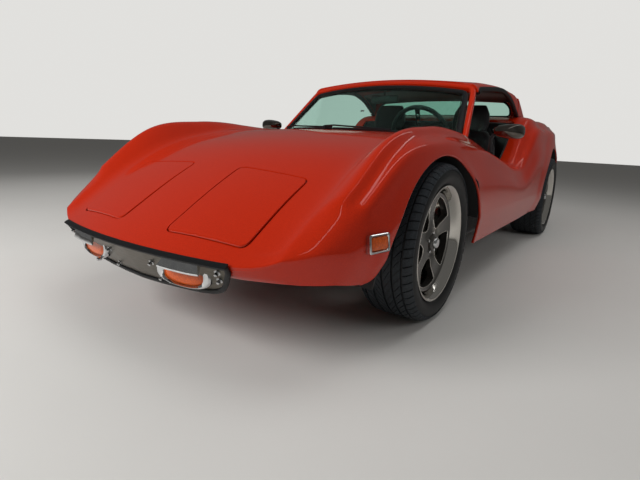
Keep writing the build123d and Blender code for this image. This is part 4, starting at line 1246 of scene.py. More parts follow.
@dataclass
class Greenhouse:
    """Windscreen frame, targa roof, hoop, sails, glass and their rubber seals."""

    skin: Skin
    finishes: Finishes
    base_x: float = 770
    base_z: float = 745
    # X and half-width of the pillars' feet, then X and height of the header's middle.
    base_corner: Sequence[float] = (538, 625)
    header: Sequence[float] = (275, 1078)
    # X, half-width and height of the header's corners and of the hoop's feet.
    header_corner: Sequence[float] = (245, 552, 1037)
    foot: Sequence[float] = (-1120, 610, 905)
    roof_line: Sequence[Sequence[float]] = ((475, 1040), (275, 1078), (129, 1088), (-16, 1095), (-233, 1100),
                                            (-417, 1098), (-618, 1080), (-738, 1026), (-885, 943), (-1125, 880))
    # Places along the car, and the fall of the roof from its middle to its edge at each.
    crown_line: Sequence[Sequence[float]] = ((-618, -233, 129, 275), (22, 17, 28, 42))
    window_x: float = -650
    window_edge: Sequence[Sequence[float]] = ((-546, 922), (-536, 990), (-480, 1034), (0, 1050), (480, 1034),
                                              (536, 990), (546, 922))
    sail_ends: Sequence[float] = (-640, -930)
    opening: Sequence[Sequence[float]] = ((455, 690), (245, 1027), (-147, 1070), (-288, 1075), (-457, 1039),
                                          (-599, 972), (-722, 894))

    def __post_init__(self) -> None:
        """Run a curve along the middle of the roof."""
        self.roof_curve = Curve(self.roof_line)

    def pillar(self, z: float) -> tuple[float, float]:
        """X and half-width of the leaning pillars at a height."""
        rise = (z - self.base_z) / (self.header_corner[2] - self.base_z)
        return tuple(low + rise * (high - low) for low, high in zip(self.base_corner, self.header_corner))

    def screen_x(self, y: float, z: float) -> float:
        """X of the bowed windscreen surface."""
        front = self.base_x - (z - self.base_z) * (self.base_x - self.header[0]) / (self.header[1] - self.base_z)
        corner_x, corner_y = self.pillar(z)
        return front - (front - corner_x) * (y / corner_y) ** 2

    def screen_point(self, y: float, z: float, sink: float = 0) -> np.ndarray:
        """Point of the windscreen surface, sunk along its normal."""
        spot = np.array([self.screen_x(y, z), y, z])
        return spot - sink * self.screen_normal(y, z)

    def screen_normal(self, y: float, z: float) -> np.ndarray:
        """Outward normal of the windscreen surface."""
        slope_y = (self.screen_x(y + 1, z) - self.screen_x(y - 1, z)) / 2
        slope_z = (self.screen_x(y, z + 1) - self.screen_x(y, z - 1)) / 2
        normal = np.array([1, -slope_y, -slope_z])
        return normal / np.linalg.norm(normal)

    def side_y(self, x: float, z: float) -> float:
        """Half-width of the leaning side face behind the pillars."""
        corner_x, corner_y = self.pillar(z)
        rise = z - self.foot[2]
        foot_x, foot_y = self.foot[0] + 3.0 * rise, self.foot[1] - 0.1 * rise
        return corner_y + (corner_x - x) / (corner_x - foot_x) * (foot_y - corner_y)

    def roof_z(self, x: float, y: float) -> float:
        """Height of the crowned roof."""
        crown = np.interp(x, *self.crown_line)
        return float(self.roof_curve.at(x)[0]) - crown * (y / self.header_corner[1]) ** 2

    def frame_line(self, inset: float) -> np.ndarray:
        """Front view of the windscreen surround, from foot to foot, moved towards the glass."""
        foot_z = self.base_z - 23
        foot_y = self.base_corner[1] + 5 - inset
        top = self.header[1] - inset
        corner = (self.header_corner[1] + 1 - inset, self.header_corner[2] + 3 - inset)
        arc = [(y, top - (top - corner[1]) * (y / corner[0]) ** 2) for y in np.linspace(corner[0], -corner[0], 25)]
        corners = [(foot_y, foot_z), *arc, (-foot_y, foot_z)]
        smooth_corners = rounded(corners[:3], 52 - inset * 0.4, closed=False)[1:-1]
        line = [corners[0], *smooth_corners, *corners[3:-3]]
        line += [np.array((-p[0], p[1])) for p in smooth_corners[::-1]] + [corners[-1]]
        return dense([np.array(p, float) for p in line], 16, closed=False)

    def frame_sweep(self, name: str, inset: float, sink: float,
                    section: Sequence[tuple[float, float]]) -> bpy.types.Object:
        """Bar round the windscreen at an inset and depth, with a given section."""
        line = self.frame_line(inset)
        path = np.array([self.screen_point(y, z, sink) for y, z in line])
        return sweep(name, path, np.array([self.screen_normal(y, z) for y, z in line]), section)

    def base_sweep(self, name: str, height: float, section: Sequence[tuple[float, float]], reach: float,
                   sink: float) -> bpy.types.Object:
        """Bar along the foot of the windscreen."""
        path = []
        for y in np.linspace(-reach, reach, 60):
            z = self.base_z
            for _ in range(8):
                z = self.skin.height(self.screen_x(y, z), y) + height
            path.append(self.screen_point(y, z, sink))
        return sweep(name, np.array(path), np.array([self.screen_normal(*p[1:]) for p in path]), section)

    def windscreen(self) -> None:
        """Painted surround, black seals, bright bead and the glass."""
        f = self.finishes
        frame = self.frame_sweep("windscreen_surround", 15, 19, bar_section(16, 20, 3.4, 28))
        dress(frame, f.paint, replaces=("windscreen_frame",), angle=60)
        seal = self.frame_sweep("windscreen_seal", 43, 16, bar_section(16, 15, 3, 20))
        foot_seal = self.base_sweep("foot_seal", 4, bar_section(9, 12, 3, 20), 590, 8)
        dress(joined("windscreen_seal", [seal, foot_seal]), f.rubber, angle=60)
        bead = self.frame_sweep("windscreen_bead", 58, 5, bar_section(1.6, 1.6, 2, 12))
        dress(bead, f.smoked_chrome, angle=60)
        for side in Side:
            edge = [self.screen_point(y, z, 41) for y, z in self.frame_line(2)[2:40] if z < self.header_corner[2] - 10]
            bead = rope(f"pillar_bead_{side.label}", [(x, side.value * y, z) for x, y, z in edge], 2.5)
            dress(bead, f.chrome, angle=None)
        centre = np.array([0, 880.0])
        edge = [p for p in self.frame_line(40) if p[1] > self.base_z - 1]
        edge += [np.array([y, self.base_z - 3.0]) for y in np.linspace(-588, 588, 40)]
        rings = [[self.screen_point(*(centre + (p - centre) * scale), 9) for p in edge]
                 for scale in (0.02, 0.15, 0.3, 0.45, 0.6, 0.75, 0.88, 1.0)]
        glass = face_out(loft("windscreen_pane", rings, end_caps=False), axis=0)
        finish_with(glass, "SOLIDIFY", thickness=5 * MM, offset=-1)
        dress(glass, f.glass, replaces=("windscreen_glass",), angle=60)

    def shell_section(self, x: float, low: float) -> list[tuple[float, float, float]]:
        """Half section of the roof: along its crown, round its edge and down its side."""
        edge_y = 560.0
        for _ in range(12):
            edge_y = self.side_y(x, self.roof_z(x, edge_y))
        edge_z = self.roof_z(x, edge_y)
        top = [np.array([y, self.roof_z(x, y)]) for y in np.linspace(0, edge_y - 46, 13)]
        side = [np.array([self.side_y(x, z), z]) for z in np.linspace(edge_z - 40, low, 10)]
        start, end, corner = top[-1], side[0], np.array([edge_y, edge_z])
        bend = [(1 - t) ** 2 * start + 2 * t * (1 - t) * corner + t * t * end for t in np.linspace(0, 1, 9)[1:-1]]
        return [(x, y, z) for y, z in [*top, *bend, *side]]

    def opening_line(self, inset: float = 0) -> np.ndarray:
        """Side view of the door opening's edge from the pillar's foot over to the sail."""
        line = dense(rounded([np.array(p, float) for p in self.opening], 60, closed=False), 14, closed=False)
        return line - inset * edge_normals(line, closed=False)

    def opening_cutter(self) -> bpy.types.Object:
        """Closed cutter through both door openings."""
        profile = [tuple(p) for p in self.opening_line()] + [(-722, 500), (455, 500)]
        return loft("opening_cutter", [[(x, y, z) for x, z in profile] for y in (-900, 900)])

    def roof(self) -> None:
        """Lift-out panel and the hoop behind it, from one crowned skin."""
        for name, front, rear, node in (("targa_panel", 262, -218, "roof_panel"),
                                        ("hoop_shell", -222, -676, "roof_hoop")):
            rings = []
            for x in np.linspace(front, rear, 26):
                half = self.shell_section(x, 800)
                rings.append(mirror_y(half[:0:-1]) + half)
            shell = face_out(loft(name, rings, round_rings=False, end_caps=False), axis=2)
            finish_with(shell, "SOLIDIFY", thickness=22 * MM, offset=-1)
            cut(shell, self.opening_cutter())
            dress(shell, self.finishes.paint, replaces=(node,), angle=40)

    def sails(self) -> None:
        """Tapering sails of the hoop, which fall to the deck, with a gasket along their feet."""
        f = self.finishes
        for side in Side:
            rings = []
            for x in np.linspace(*self.sail_ends, 24):
                top = self.roof_z(x, 540)
                deck = self.skin.height(x, 560) - 8
                high = max(top, deck + 4)
                thick = np.interp(-x, [-end for end in self.sail_ends], (34, 64))
                low_y, high_y = self.side_y(x, deck), self.side_y(x, high)
                ring = rounded([(low_y, deck), (high_y, high), (high_y - thick, high - 4),
                                (low_y - thick - 10, deck)], min(26.0, (high - deck) * 0.45), 5)
                rings.append([(x, side.value * p[0], p[1]) for p in ring])
            sail = loft(f"sail_{side.label}", rings)
            cut(sail, self.opening_cutter())
            dress(sail, f.paint, angle=50)
            foot = [(x, side.value * (self.side_y(x, 900) + 1), self.skin.height(x, 590) + 1)
                    for x in np.linspace(-715, self.sail_ends[1], 24)]
            dress(rope(f"sail_gasket_{side.label}", foot, 3.5), f.rubber, angle=None)

    def lining(self) -> None:
        """Padded vinyl under the roof panel and the hoop."""
        rings = []
        for x in np.linspace(236, -646, 30):
            half = np.array(self.shell_section(x, 905))[:, 1:]
            inward = edge_normals(half, closed=False)
            ring = []
            for depth, step in ((24, 1), (28, -1)):
                line = half + depth * inward
                ring += ([(x, -y, z) for y, z in line[:0:-1]] + [(x, y, z) for y, z in line])[::step]
            rings.append(ring)
        lining = loft("roof_lining", rings)
        cut(lining, self.opening_cutter())
        dress(lining, self.finishes.vinyl, angle=50)

    def side_seals(self) -> None:
        """Thick black rubber round the door openings."""
        line = [p for p in self.opening_line(14) if p[0] < 250]
        for side in Side:
            path = np.array([(x, side.value * (self.side_y(x, z) - 10), z) for x, z in line])
            along = headings(path, closed=False)
            out = np.tile(np.array([0, side.value, 0.25]), (len(path), 1))
            out = unit(out - np.sum(out * along, axis=1, keepdims=True) * along)
            seal = sweep(f"door_seal_{side.label}", path, out, bar_section(14, 12, 3, 16))
            dress(seal, self.finishes.rubber, angle=60)

    def rear_wall(self) -> None:
        """Upright wall behind the cabin with its rounded window."""
        f = self.finishes
        rings = []
        half = self.shell_section(self.window_x, 900)[:20]
        for y in np.linspace(-572, 572, 53):
            top = np.interp(abs(y), [p[1] for p in half], [p[2] for p in half]) - 14
            rings.append([(self.window_x, y, 870), (self.window_x, y, top), (self.window_x - 20, y, top),
                          (self.window_x - 20, y, 870)])
        wall = loft("rear_wall", rings)
        edge = rounded([np.array(p, float) for p in self.window_edge], 30)
        cut(wall, loft("window_cutter", [[(x, y, z) for y, z in edge] for x in (-600, -720)]))
        dress(wall, f.paint, angle=40)
        line = dense(edge, 14)
        path = np.array([(self.window_x - 8, y, z) for y, z in line])
        ahead = np.tile(np.array([1.0, 0, 0]), (len(path), 1))
        seal = sweep("rear_window_seal", path, ahead, bar_section(7, 12, 3, 14), loop=True)
        dress(seal, f.rubber, angle=60)
        rings = [[(self.window_x - x, y, z) for y, z in line] for x in (6, 11)]
        dress(loft("rear_window_pane", rings), f.glass, replaces=("rear_window",))

    def build(self) -> None:
        """Build every piece above the waist."""
        self.windscreen()
        self.roof()
        self.sails()
        self.lining()
        self.side_seals()
        self.rear_wall()


@dataclass
class Wheel:
    """One wheel: a deep polished rim with a five-spoke centre, and a low-profile tyre."""

    finishes: Finishes
    corner: str
    side: int
    x: float
    hub_y: float
    half: float
    width: float
    radius: float = 317
    rim_radius: float = 216
    lip_radius: float = 233
    spokes: int = 5
    face_drop: float = 52
    # Radius and height above the wheel's face of the spokes' outer side.
    dish: Sequence[Sequence[float]] = ((44, 60, 120, 172, 199), (12, 4, -2, 6, 16))
    nut_circle: float = 41
    pitches: int = 60

    def __post_init__(self) -> None:
        """Name the wheel and its body."""
        self.name = f"wheel_{self.corner}"

    def turned(self, name: str, outline: Sequence[tuple[float, float]], steps: int = 96) -> bpy.types.Object:
        """Ring turned about the hub from radius and offset pairs."""
        rings = []
        for angle in np.linspace(0, 2 * math.pi, steps, endpoint=False):
            c, s = math.cos(angle), math.sin(angle)
            rings.append([self.place(r * s, o, r * c) for r, o in outline])
        return loft(name, rings, end_caps=False, loop=True)

    def place(self, across: float, offset: float, up: float) -> tuple[float, float, float]:
        """Point by its distances from the hub: along the car, outwards and up."""
        return (self.x + across, self.side * (self.hub_y + offset), self.radius + up)

    def window(self) -> np.ndarray:
        """Outline of the opening between two spokes, across and up from the hub."""
        inner, outer, narrow, broad = 62, 186, 23, 37
        corners = []
        for r in np.linspace(inner + 22, outer, 9):
            width = narrow + (broad - narrow) * ((r - inner) / (outer - inner)) ** 3
            corners.append((r, math.pi / self.spokes - math.asin(min(0.95, width / r))))
        corners += [(outer, a) for a in np.linspace(corners[-1][1], 0, 8)[1:]]
        half = [(0.0, inner)] + [(r * math.sin(a), r * math.cos(a)) for r, a in corners]
        whole = half + [(-p[0], p[1]) for p in half[::-1][1:-1]]
        return dense(rounded(whole, 20, 5), 5)

    def centre(self) -> None:
        """Dished disc with five windows, bright edges round them and a hub with its cap."""
        f = self.finishes
        face = self.half - self.face_drop
        section = [(24, 12), *zip(*self.dish), (199, -18), (150, -22), (60, -20), (24, -20)]
        disc = self.turned(f"{self.name}_spokes", [(r, face + o) for r, o in section])
        outline = self.window()
        edges = []
        for k in range(self.spokes):
            turn = 2 * math.pi * (k + 0.5) / self.spokes
            c, s = math.cos(turn), math.sin(turn)
            ring = [(a * c + b * s, b * c - a * s) for a, b in outline]
            cut(disc, loft("window_cutter", [[self.place(x, face + o, z) for x, z in ring] for o in (-60, 60)]))
            path = [self.place(x, face + np.interp(math.hypot(x, z), *self.dish) - 0.5, z) for x, z in ring]
            edges.append(rope("edge", path, 2.6, closed=True, sides=2))
        section = [(0.5, 24), (26, 24), (33, 20), (36, 8), (50, 8), (50, -34), (0.5, -34)]
        hub = self.turned("hub", [(r, face + o) for r, o in section], 48)
        bright = joined(f"{self.name}_machined_edges", edges)
        outward_axis = (0, self.side, 0)
        cap = [drum(f"{self.name}_cap", self.place(0, face + 30, 0), outward_axis, 24, 16, 19, round_by=4)]
        for k in range(self.spokes):
            turn = 2 * math.pi * k / self.spokes
            spot = self.place(self.nut_circle * math.sin(turn), face + 12, self.nut_circle * math.cos(turn))
            cap.append(drum("nut", spot, outward_axis, 8.5, 14, 7, round_by=1.5, sides=6))
        spokes = joined(f"{self.name}_spokes", [disc, hub])
        dress(spokes, f.wheel_paint, self.name, (f"rim_{self.corner}",), 40)
        dress(bright, f.machined, self.name, angle=None)
        dress(joined(f"{self.name}_cap", cap), f.chrome, self.name)

    def rim(self) -> None:
        """Deep barrel with a rolled lip."""
        h, r, lip = self.half, self.rim_radius, self.lip_radius
        barrel = self.turned(f"{self.name}_rim", [
            (lip, h - 2), (lip - 1, h), (lip - 4, h + 0.5), (lip - 8, h - 1), (r + 1, h - 8), (r - 4, h - 16),
            (r - 7, h - 26), (r - 14, h - 40), (r - 17, h - 50), (r - 17, -h + 30), (r - 8, -h + 4), (lip - 6, -h),
            (lip, -h), (r + 4, -h + 9), (r - 1, -h + 26), (r - 10, -h + 40), (r - 10, h - 46), (r - 0.5, h - 27),
            (r + 4, h - 10)], 128)
        dress(barrel, self.finishes.machined, self.name, angle=50)

    def tyre(self) -> None:
        """Tyre carcass up to the foot of the tread."""
        w, h, outer, lip, seat = self.width / 2, self.half, self.radius, self.lip_radius, self.rim_radius
        half = [(seat + 0.8, 0), (seat + 0.8, h - 28), (seat + 6, h - 10.5), (lip + 2.5, h - 7), (lip + 9, h + 1.5),
                (lip + 20, w - 4), (lip + 32, w - 0.5), (outer - 46, w), (outer - 34, w - 1.5), (outer - 25, w - 6),
                (outer - 19, w - 12), (outer - 14.5, w - 19), (outer - 11, w - 27), (outer - 9, w - 36)]
        half += [(outer - 7.5, y) for y in np.linspace(w - 48, 0, 9)]
        tyre = self.turned(f"tyre_{self.corner}", half + [(r, -y) for r, y in half[-2:0:-1]], 168)
        dress(tyre, self.finishes.tyre, self.name, (f"tyre_{self.corner}",), 60)

    def tread_blocks(self) -> None:
        """Raised tread blocks in swept bands, repeated round the tyre at an even pitch."""
        w = self.width / 2
        pitch = 2 * math.pi / self.pitches
        fall = ((0, w - 48, w - 36, w - 25, w - 17, w - 10, w - 5), (0.3, 0.3, 1.6, 3.8, 7, 12, 20))
        bands = ((4, 0.32 * w, 4, False), (0.32 * w + 8, 0.64 * w, 4, False), (0.64 * w + 8, w - 3, 7, True))
        points, faces = [], []

        def block_edge(start: float, hand: int, ys: np.ndarray, outermost: bool) -> None:
            for y in ys:
                back = 0.42 * (1 - (1 - y / w) ** 1.6)
                if outermost:
                    back = 0.42 * (1 - 0.3 ** 1.6) + 0.1 * (y / w - 0.7)
                angle = start * pitch - back
                top = self.radius - float(np.interp(y, *fall))
                for r in (top, top - (9 if y < w - 12 else 5.4)):
                    points.append((self.x + r * math.sin(angle), self.side * self.hub_y + hand * y,
                                   self.radius + r * math.cos(angle)))

        for number in range(self.pitches):
            for hand, shift in ((-1, 0), (1, 0.5)):
                for inner_y, outer_y, n, outermost in bands:
                    base = len(points)
                    for share in (0.07, 0.93):
                        block_edge(number + share + shift, hand, np.linspace(inner_y, outer_y, n), outermost)
                    for k in range(n - 1):
                        a, b = base + 2 * k, base + 2 * (n + k)
                        faces += [(a, a + 2, b + 2, b), (a, a + 1, a + 3, a + 2), (b, b + 2, b + 3, b + 1)]
                    a, b = base + 2 * (n - 1), base + 2 * (2 * n - 1)
                    faces += [(base, base + 2 * n, base + 2 * n + 1, base + 1), (a, a + 1, b + 1, b)]
        tread = face_out(mesh_piece(f"tread_{self.corner}", points, faces))
        dress(tread, self.finishes.tread, self.name, angle=30)

    def build(self) -> None:
        """Build the wheel."""
        self.rim()
        self.centre()
        self.tyre()
        self.tread_blocks()


@dataclass
class NoseTrim:
    """Polished plate, its rubber strips and bolts, the driving lamps and the side markers."""

    body: Body
    finishes: Finishes
    high: float = 328
    slope: float = 0.63
    stand: float = -2
    # Half-widths of the plate's lower edge, and its height at each.
    foot_line: Sequence[Sequence[float]] = ((0, 109, 297, 345, 372, 390, 406, 424, 442),
                                            (217, 221, 231, 238, 247, 258, 275, 301, 327))
    bolts: Sequence[Sequence[float]] = ((122, 291), (124, 233), (407, 313), (399, 284))
    lamp_y: float = 258
    lamp_z: float = 280
    # Depth, half-width and half-height of the rings of a driving lamp.
    lamp_shell: Sequence[Sequence[float]] = ((-80, 96, 36), (-50, 106, 42), (-34, 109.5, 44), (-28, 109, 43.5),
                                             (-24, 106, 42), (-23, 98, 40), (-27, 84, 38), (-38, 80, 36),
                                             (-58, 20, 8))
    lamp_lens: Sequence[Sequence[float]] = ((-44, 82, 37), (-33, 82, 37), (-29, 76, 34), (-26.5, 60, 27),
                                            (-25, 40, 17), (-24.5, 6, 3))
    marker_x: float = 1719
    marker_z: float = 406
    marker_size: Sequence[float] = (92, 58)
    # Insets along and up, and height above the wing, of the rings of a side marker.
    marker_frame: Sequence[Sequence[float]] = ((0, 0, -14), (0, 0, 7), (2, 2, 9.5), (6, 6, 9.5), (8.5, 8.5, 6),
                                               (9, 9, 0))
    marker_lens: Sequence[Sequence[float]] = ((8, 8, -4), (8.5, 8.5, 5), (12, 11, 8.5), (24, 20, 9.5))

    def face(self, y: float, z: float, out: float = 0) -> np.ndarray:
        """Point on the plate's face, which slants back towards its foot, moved out along its normal."""
        lean = (self.body.nose_line(y + 1) - self.body.nose_line(y - 1)) / 2
        normal = np.array([1, -lean, -self.slope])
        spot = np.array([self.body.nose_line(y) + self.stand - self.slope * (self.high - z), y, z])
        return spot + out * normal / np.linalg.norm(normal)

    def outline(self, grow: float) -> np.ndarray:
        """Closed outline of the plate in the front view, grown by a margin."""
        edge = self.foot_line[0][-1]
        top = [(y, self.high) for y in np.linspace(-edge, edge, 70)]
        curl = np.linspace(edge, 352, 24)
        across = np.concatenate([curl[1:], np.linspace(340, -340, 54), -curl[:0:-1]])
        line = np.array(top + [(y, float(np.interp(abs(y), *self.foot_line))) for y in across])
        return line + grow * edge_normals(line)

    def plate(self) -> None:
        """Plate, its rubber edging, made wide enough to carry the painted shadow of the gap beside it, and its bolts.
        """
        f = self.finishes
        rings = []
        edge = self.foot_line[0][-1] - 0.5
        for y in np.linspace(-edge, edge, 140):
            heights = np.linspace(np.interp(abs(y), *self.foot_line), self.high, 5)
            rings.append([self.face(y, z) for z in heights] + [self.face(y, z, -3) for z in heights[::-1]])
        dress(loft("nose_plate", rings), f.sheet, replaces=("front_plate",), angle=40)
        strips = []
        upper = [(y, self.high + 13) for y in np.linspace(-452, 452, 80)]
        # The loop of black rubber round the plate is wider than the real edging: part of its width is painted shadow
        # for the dark gap beside it.
        for line, loop, section in ((self.outline(8), True, bar_section(8.5, 7, 3, 14)),
                                    (upper, False, bar_section(3.5, 11, 3, 10))):
            path = np.array([self.face(y, z) for y, z in line])
            out = np.array([self.face(y, z, 1) for y, z in line]) - path
            strips.append(sweep("strip", path, out, section, loop=loop))
        dress(joined("nose_rubber_strips", strips), f.rubber)
        bolts = []
        for y, z in [(s * y, z) for s in (-1, 1) for y, z in self.bolts]:
            axis = self.face(y, z, 1) - self.face(y, z)
            bolts.append(drum("bolt", self.face(y, z, 7), axis, 6, 14, 5.5, round_by=2, sides=16))
            bolts.append(drum("washer", self.face(y, z, 0.8), axis, 10.5, 1.6, sides=24))
        dress(joined("nose_plate_bolts", bolts), f.chrome)

    def lamps(self) -> None:
        """Chrome shells with flat visors over oval amber lenses."""
        f = self.finishes
        shells, lenses = [], []
        for side in Side:
            y0 = side.value * self.lamp_y
            middle = self.body.nose_line(y0)
            slope = (self.body.nose_line(y0 + 60) - self.body.nose_line(y0 - 60)) / 120
            for target, rows in ((shells, self.lamp_shell), (lenses, self.lamp_lens)):
                target.append(loft("lamp", [[(middle + out + slope * a, y0 + a, self.lamp_z + b)
                                             for a, b in bar_section(wide, tall, 2.5, 56)]
                                            for out, wide, tall in rows]))
            visor = []
            for t in np.linspace(0, 1, 25):
                ahead, behind = side.value * (188 + 168 * t), side.value * (208 + 138 * t)
                front, back = self.body.nose_line(ahead), self.body.nose_line(behind)
                dip = 2.5 * (1 - (2 * t - 1) ** 4)
                visor.append([(back + 1, behind, 331), (front + 8, ahead, 303 - dip), (front + 9, ahead, 297 - dip),
                              (front + 4, ahead, 296 - dip), (back - 10, behind, 320), (back - 12, behind, 331)])
            shells.append(soften(loft("visor", visor), 1.2, 2))
            spot = (middle - 22 + slope * 96, side.value * 196, 240)
            shells.append(drum("pin", spot, (1, 0, 0), 7, 18, 6, round_by=2, sides=16))
        dress(joined("driving_lamp_shells", shells), f.chrome, replaces=("driving_lamps",))
        dress(joined("driving_lamp_lenses", lenses), f.amber)

    def markers(self) -> None:
        """Amber lenses in bright frames, lying on the wings."""
        f = self.finishes
        skin = self.body.skin
        frames, lenses = [], []
        for side in Side:
            x0, z0 = self.marker_x, self.marker_z
            here, ahead, above = (np.array([x, side.value * skin.width(x, z), z])
                                  for x, z in ((x0, z0), (x0 + 40, z0), (x0, z0 + 25)))
            along = unit(ahead - here)
            normal = unit(np.cross(along, above - here) * -side.value)
            upward = np.cross(normal, along) * side.value
            for name, target, rows in (("frame", frames, self.marker_frame), ("lens", lenses, self.marker_lens)):
                rings = []
                for in_x, in_z, out in rows:
                    wide, tall = self.marker_size[0] / 2 - in_x, self.marker_size[1] / 2 - in_z
                    corners = [(-wide, -tall), (wide, -tall), (wide, tall), (-wide, tall)]
                    rings.append([here + along * a + upward * b + normal * out for a, b in rounded(corners, 7, 4)])
                target.append(loft(name, rings))
        dress(joined("side_marker_frames", frames), f.chrome, replaces=("side_markers",))
        dress(joined("side_marker_lenses", lenses), f.amber)

    def build(self) -> None:
        """Build every piece of the nose trim."""
        self.plate()
        self.lamps()
        self.markers()


@dataclass
class Fittings:
    """Mirrors, wipers, washer nozzle and tail lamps."""

    skin: Skin
    finishes: Finishes
    mirror: Sequence[float] = (470, 792, 781)
    mirror_half: Sequence[float] = (74, 44)
    tail_x: float = -2086.3
    tail_lamp_y: Sequence[float] = (-570, -430, 430, 570)
    tail_lamp_z: float = 655
    # Depth and radius of the rings of a tail lamp.
    tail_rim: Sequence[Sequence[float]] = ((0, 50), (8, 50), (11, 47), (10, 43), (4, 41))
    tail_lens: Sequence[Sequence[float]] = ((0, 42), (6, 42), (9, 34), (11, 22), (12, 6))
    # Place of each wiper's pivot, and how far its arm is turned forward from square across, in degrees.
    wiper_pivots: Sequence[Sequence[float]] = ((690, -449, 13), (800, -100, -3))
    # Distance along a wiper's arm, and its height above the skin.
    arm_bends: Sequence[Sequence[float]] = ((0, 20), (60, 24), (150, 20), (270, 17), (395, 15))

    def door_mirrors(self) -> None:
        """Streamlined shells on stalks."""
        f = self.finishes
        x0, y0, z0 = self.mirror
        wide, tall = self.mirror_half
        shell_rows = ((-45, 0.93), (-43, 0.99), (-30, 1.0), (-8, 0.98), (14, 0.9), (32, 0.74), (42, 0.52), (47, 0.28),
                      (48, 0.05))
        face_rows = ((-47, 0.86), (-44, 0.86))
        shells, stalks = [], []
        for side in Side:
            for name, target, rows in (("shell", shells, shell_rows), ("mirror_face", stalks, face_rows)):
                target.append(loft(name, [[(x0 + x - 0.12 * a, side.value * (y0 + a), z0 + b * (0.8 + 0.2 * a / wide))
                                           for a, b in bar_section(wide * scale, tall * scale, 2.8, 40)]
                                          for x, scale in rows]))
            foot_z = self.skin.height(x0 - 10, y0 - 80)
            path = [(x0 - back, side.value * (y0 - inner), z)
                    for back, inner, z in ((10, 76, foot_z - 14), (8, 78, z0 - 40), (4, 66, z0 - 20), (0, 50, z0 - 10))]
            stalks.append(rope("stalk", path, 9, sides=4))
            stalks.append(drum("foot", (*path[0][:2], foot_z), (0, 0, 1), 22, 14, 16, round_by=3))
        dress(joined("door_mirror_shells", shells), f.smoked_chrome, replaces=("door_mirrors",), angle=50)
        dress(joined("door_mirror_stalks", stalks), f.plastic)

    def cabin_mirror(self) -> None:
        """Interior mirror hung from the header."""
        shell = block("mirror", (211, -45, 968), (22, 190, 48), 9, 4)
        stalk = rope("stalk", [(212, -45, 985), (214, -45, 1010), (228, -45, 1050)], 6)
        mirror = joined("cabin_mirror", [shell, stalk])
        dress(mirror, self.finishes.plastic, replaces=("interior_mirror",))

    def wipers(self) -> None:
        """Arms and blades parked along the foot of the glass, with the washer nozzle between them."""
        def above(x: float, y: float, rise: float) -> tuple[float, float, float]:
            return (x, y, self.skin.height(x, y) + rise)

        upright = (0, 0, 1)
        parts = []
        for x, y, turn in self.wiper_pivots:
            c, s = math.cos(math.radians(90 - turn)), math.sin(math.radians(90 - turn))
            parts.append(rope("arm", [above(x + d * c, y + d * s, rise) for d, rise in self.arm_bends], 4.5))
            parts.append(rope("blade", [above(x + d * c + 7, y + d * s, 9) for d in np.linspace(60, 400, 9)], 4))
            parts.append(drum("pivot", above(x, y, 10), upright, 13, 24, 9, round_by=2, sides=24))
        parts.append(drum("nozzle", above(742, -268, 5), upright, 9, 14, 6, round_by=2, sides=20))
        dress(joined("wiper_set", parts), self.finishes.plastic, replaces=("wipers",))

    def tail(self) -> None:
        """Round tail lamps in bright rims."""
        f = self.finishes
        turns = np.linspace(0, 2 * math.pi, 48, endpoint=False)
        rims, lenses = [], []
        for y in self.tail_lamp_y:
            for name, target, rows in (("rim", rims, self.tail_rim), ("lens", lenses, self.tail_lens)):
                target.append(loft(name, [[(self.tail_x - out, y + r * math.cos(a), self.tail_lamp_z + r * math.sin(a))
                                           for a in turns] for out, r in rows]))
        dress(joined("tail_lamp_rims", rims), f.chrome, replaces=("tail_lamps",))
        dress(joined("tail_lamp_lenses", lenses), f.red_lens)

    def build(self) -> None:
        """Build every fitting."""
        self.door_mirrors()
        self.cabin_mirror()
        self.wipers()
        self.tail()


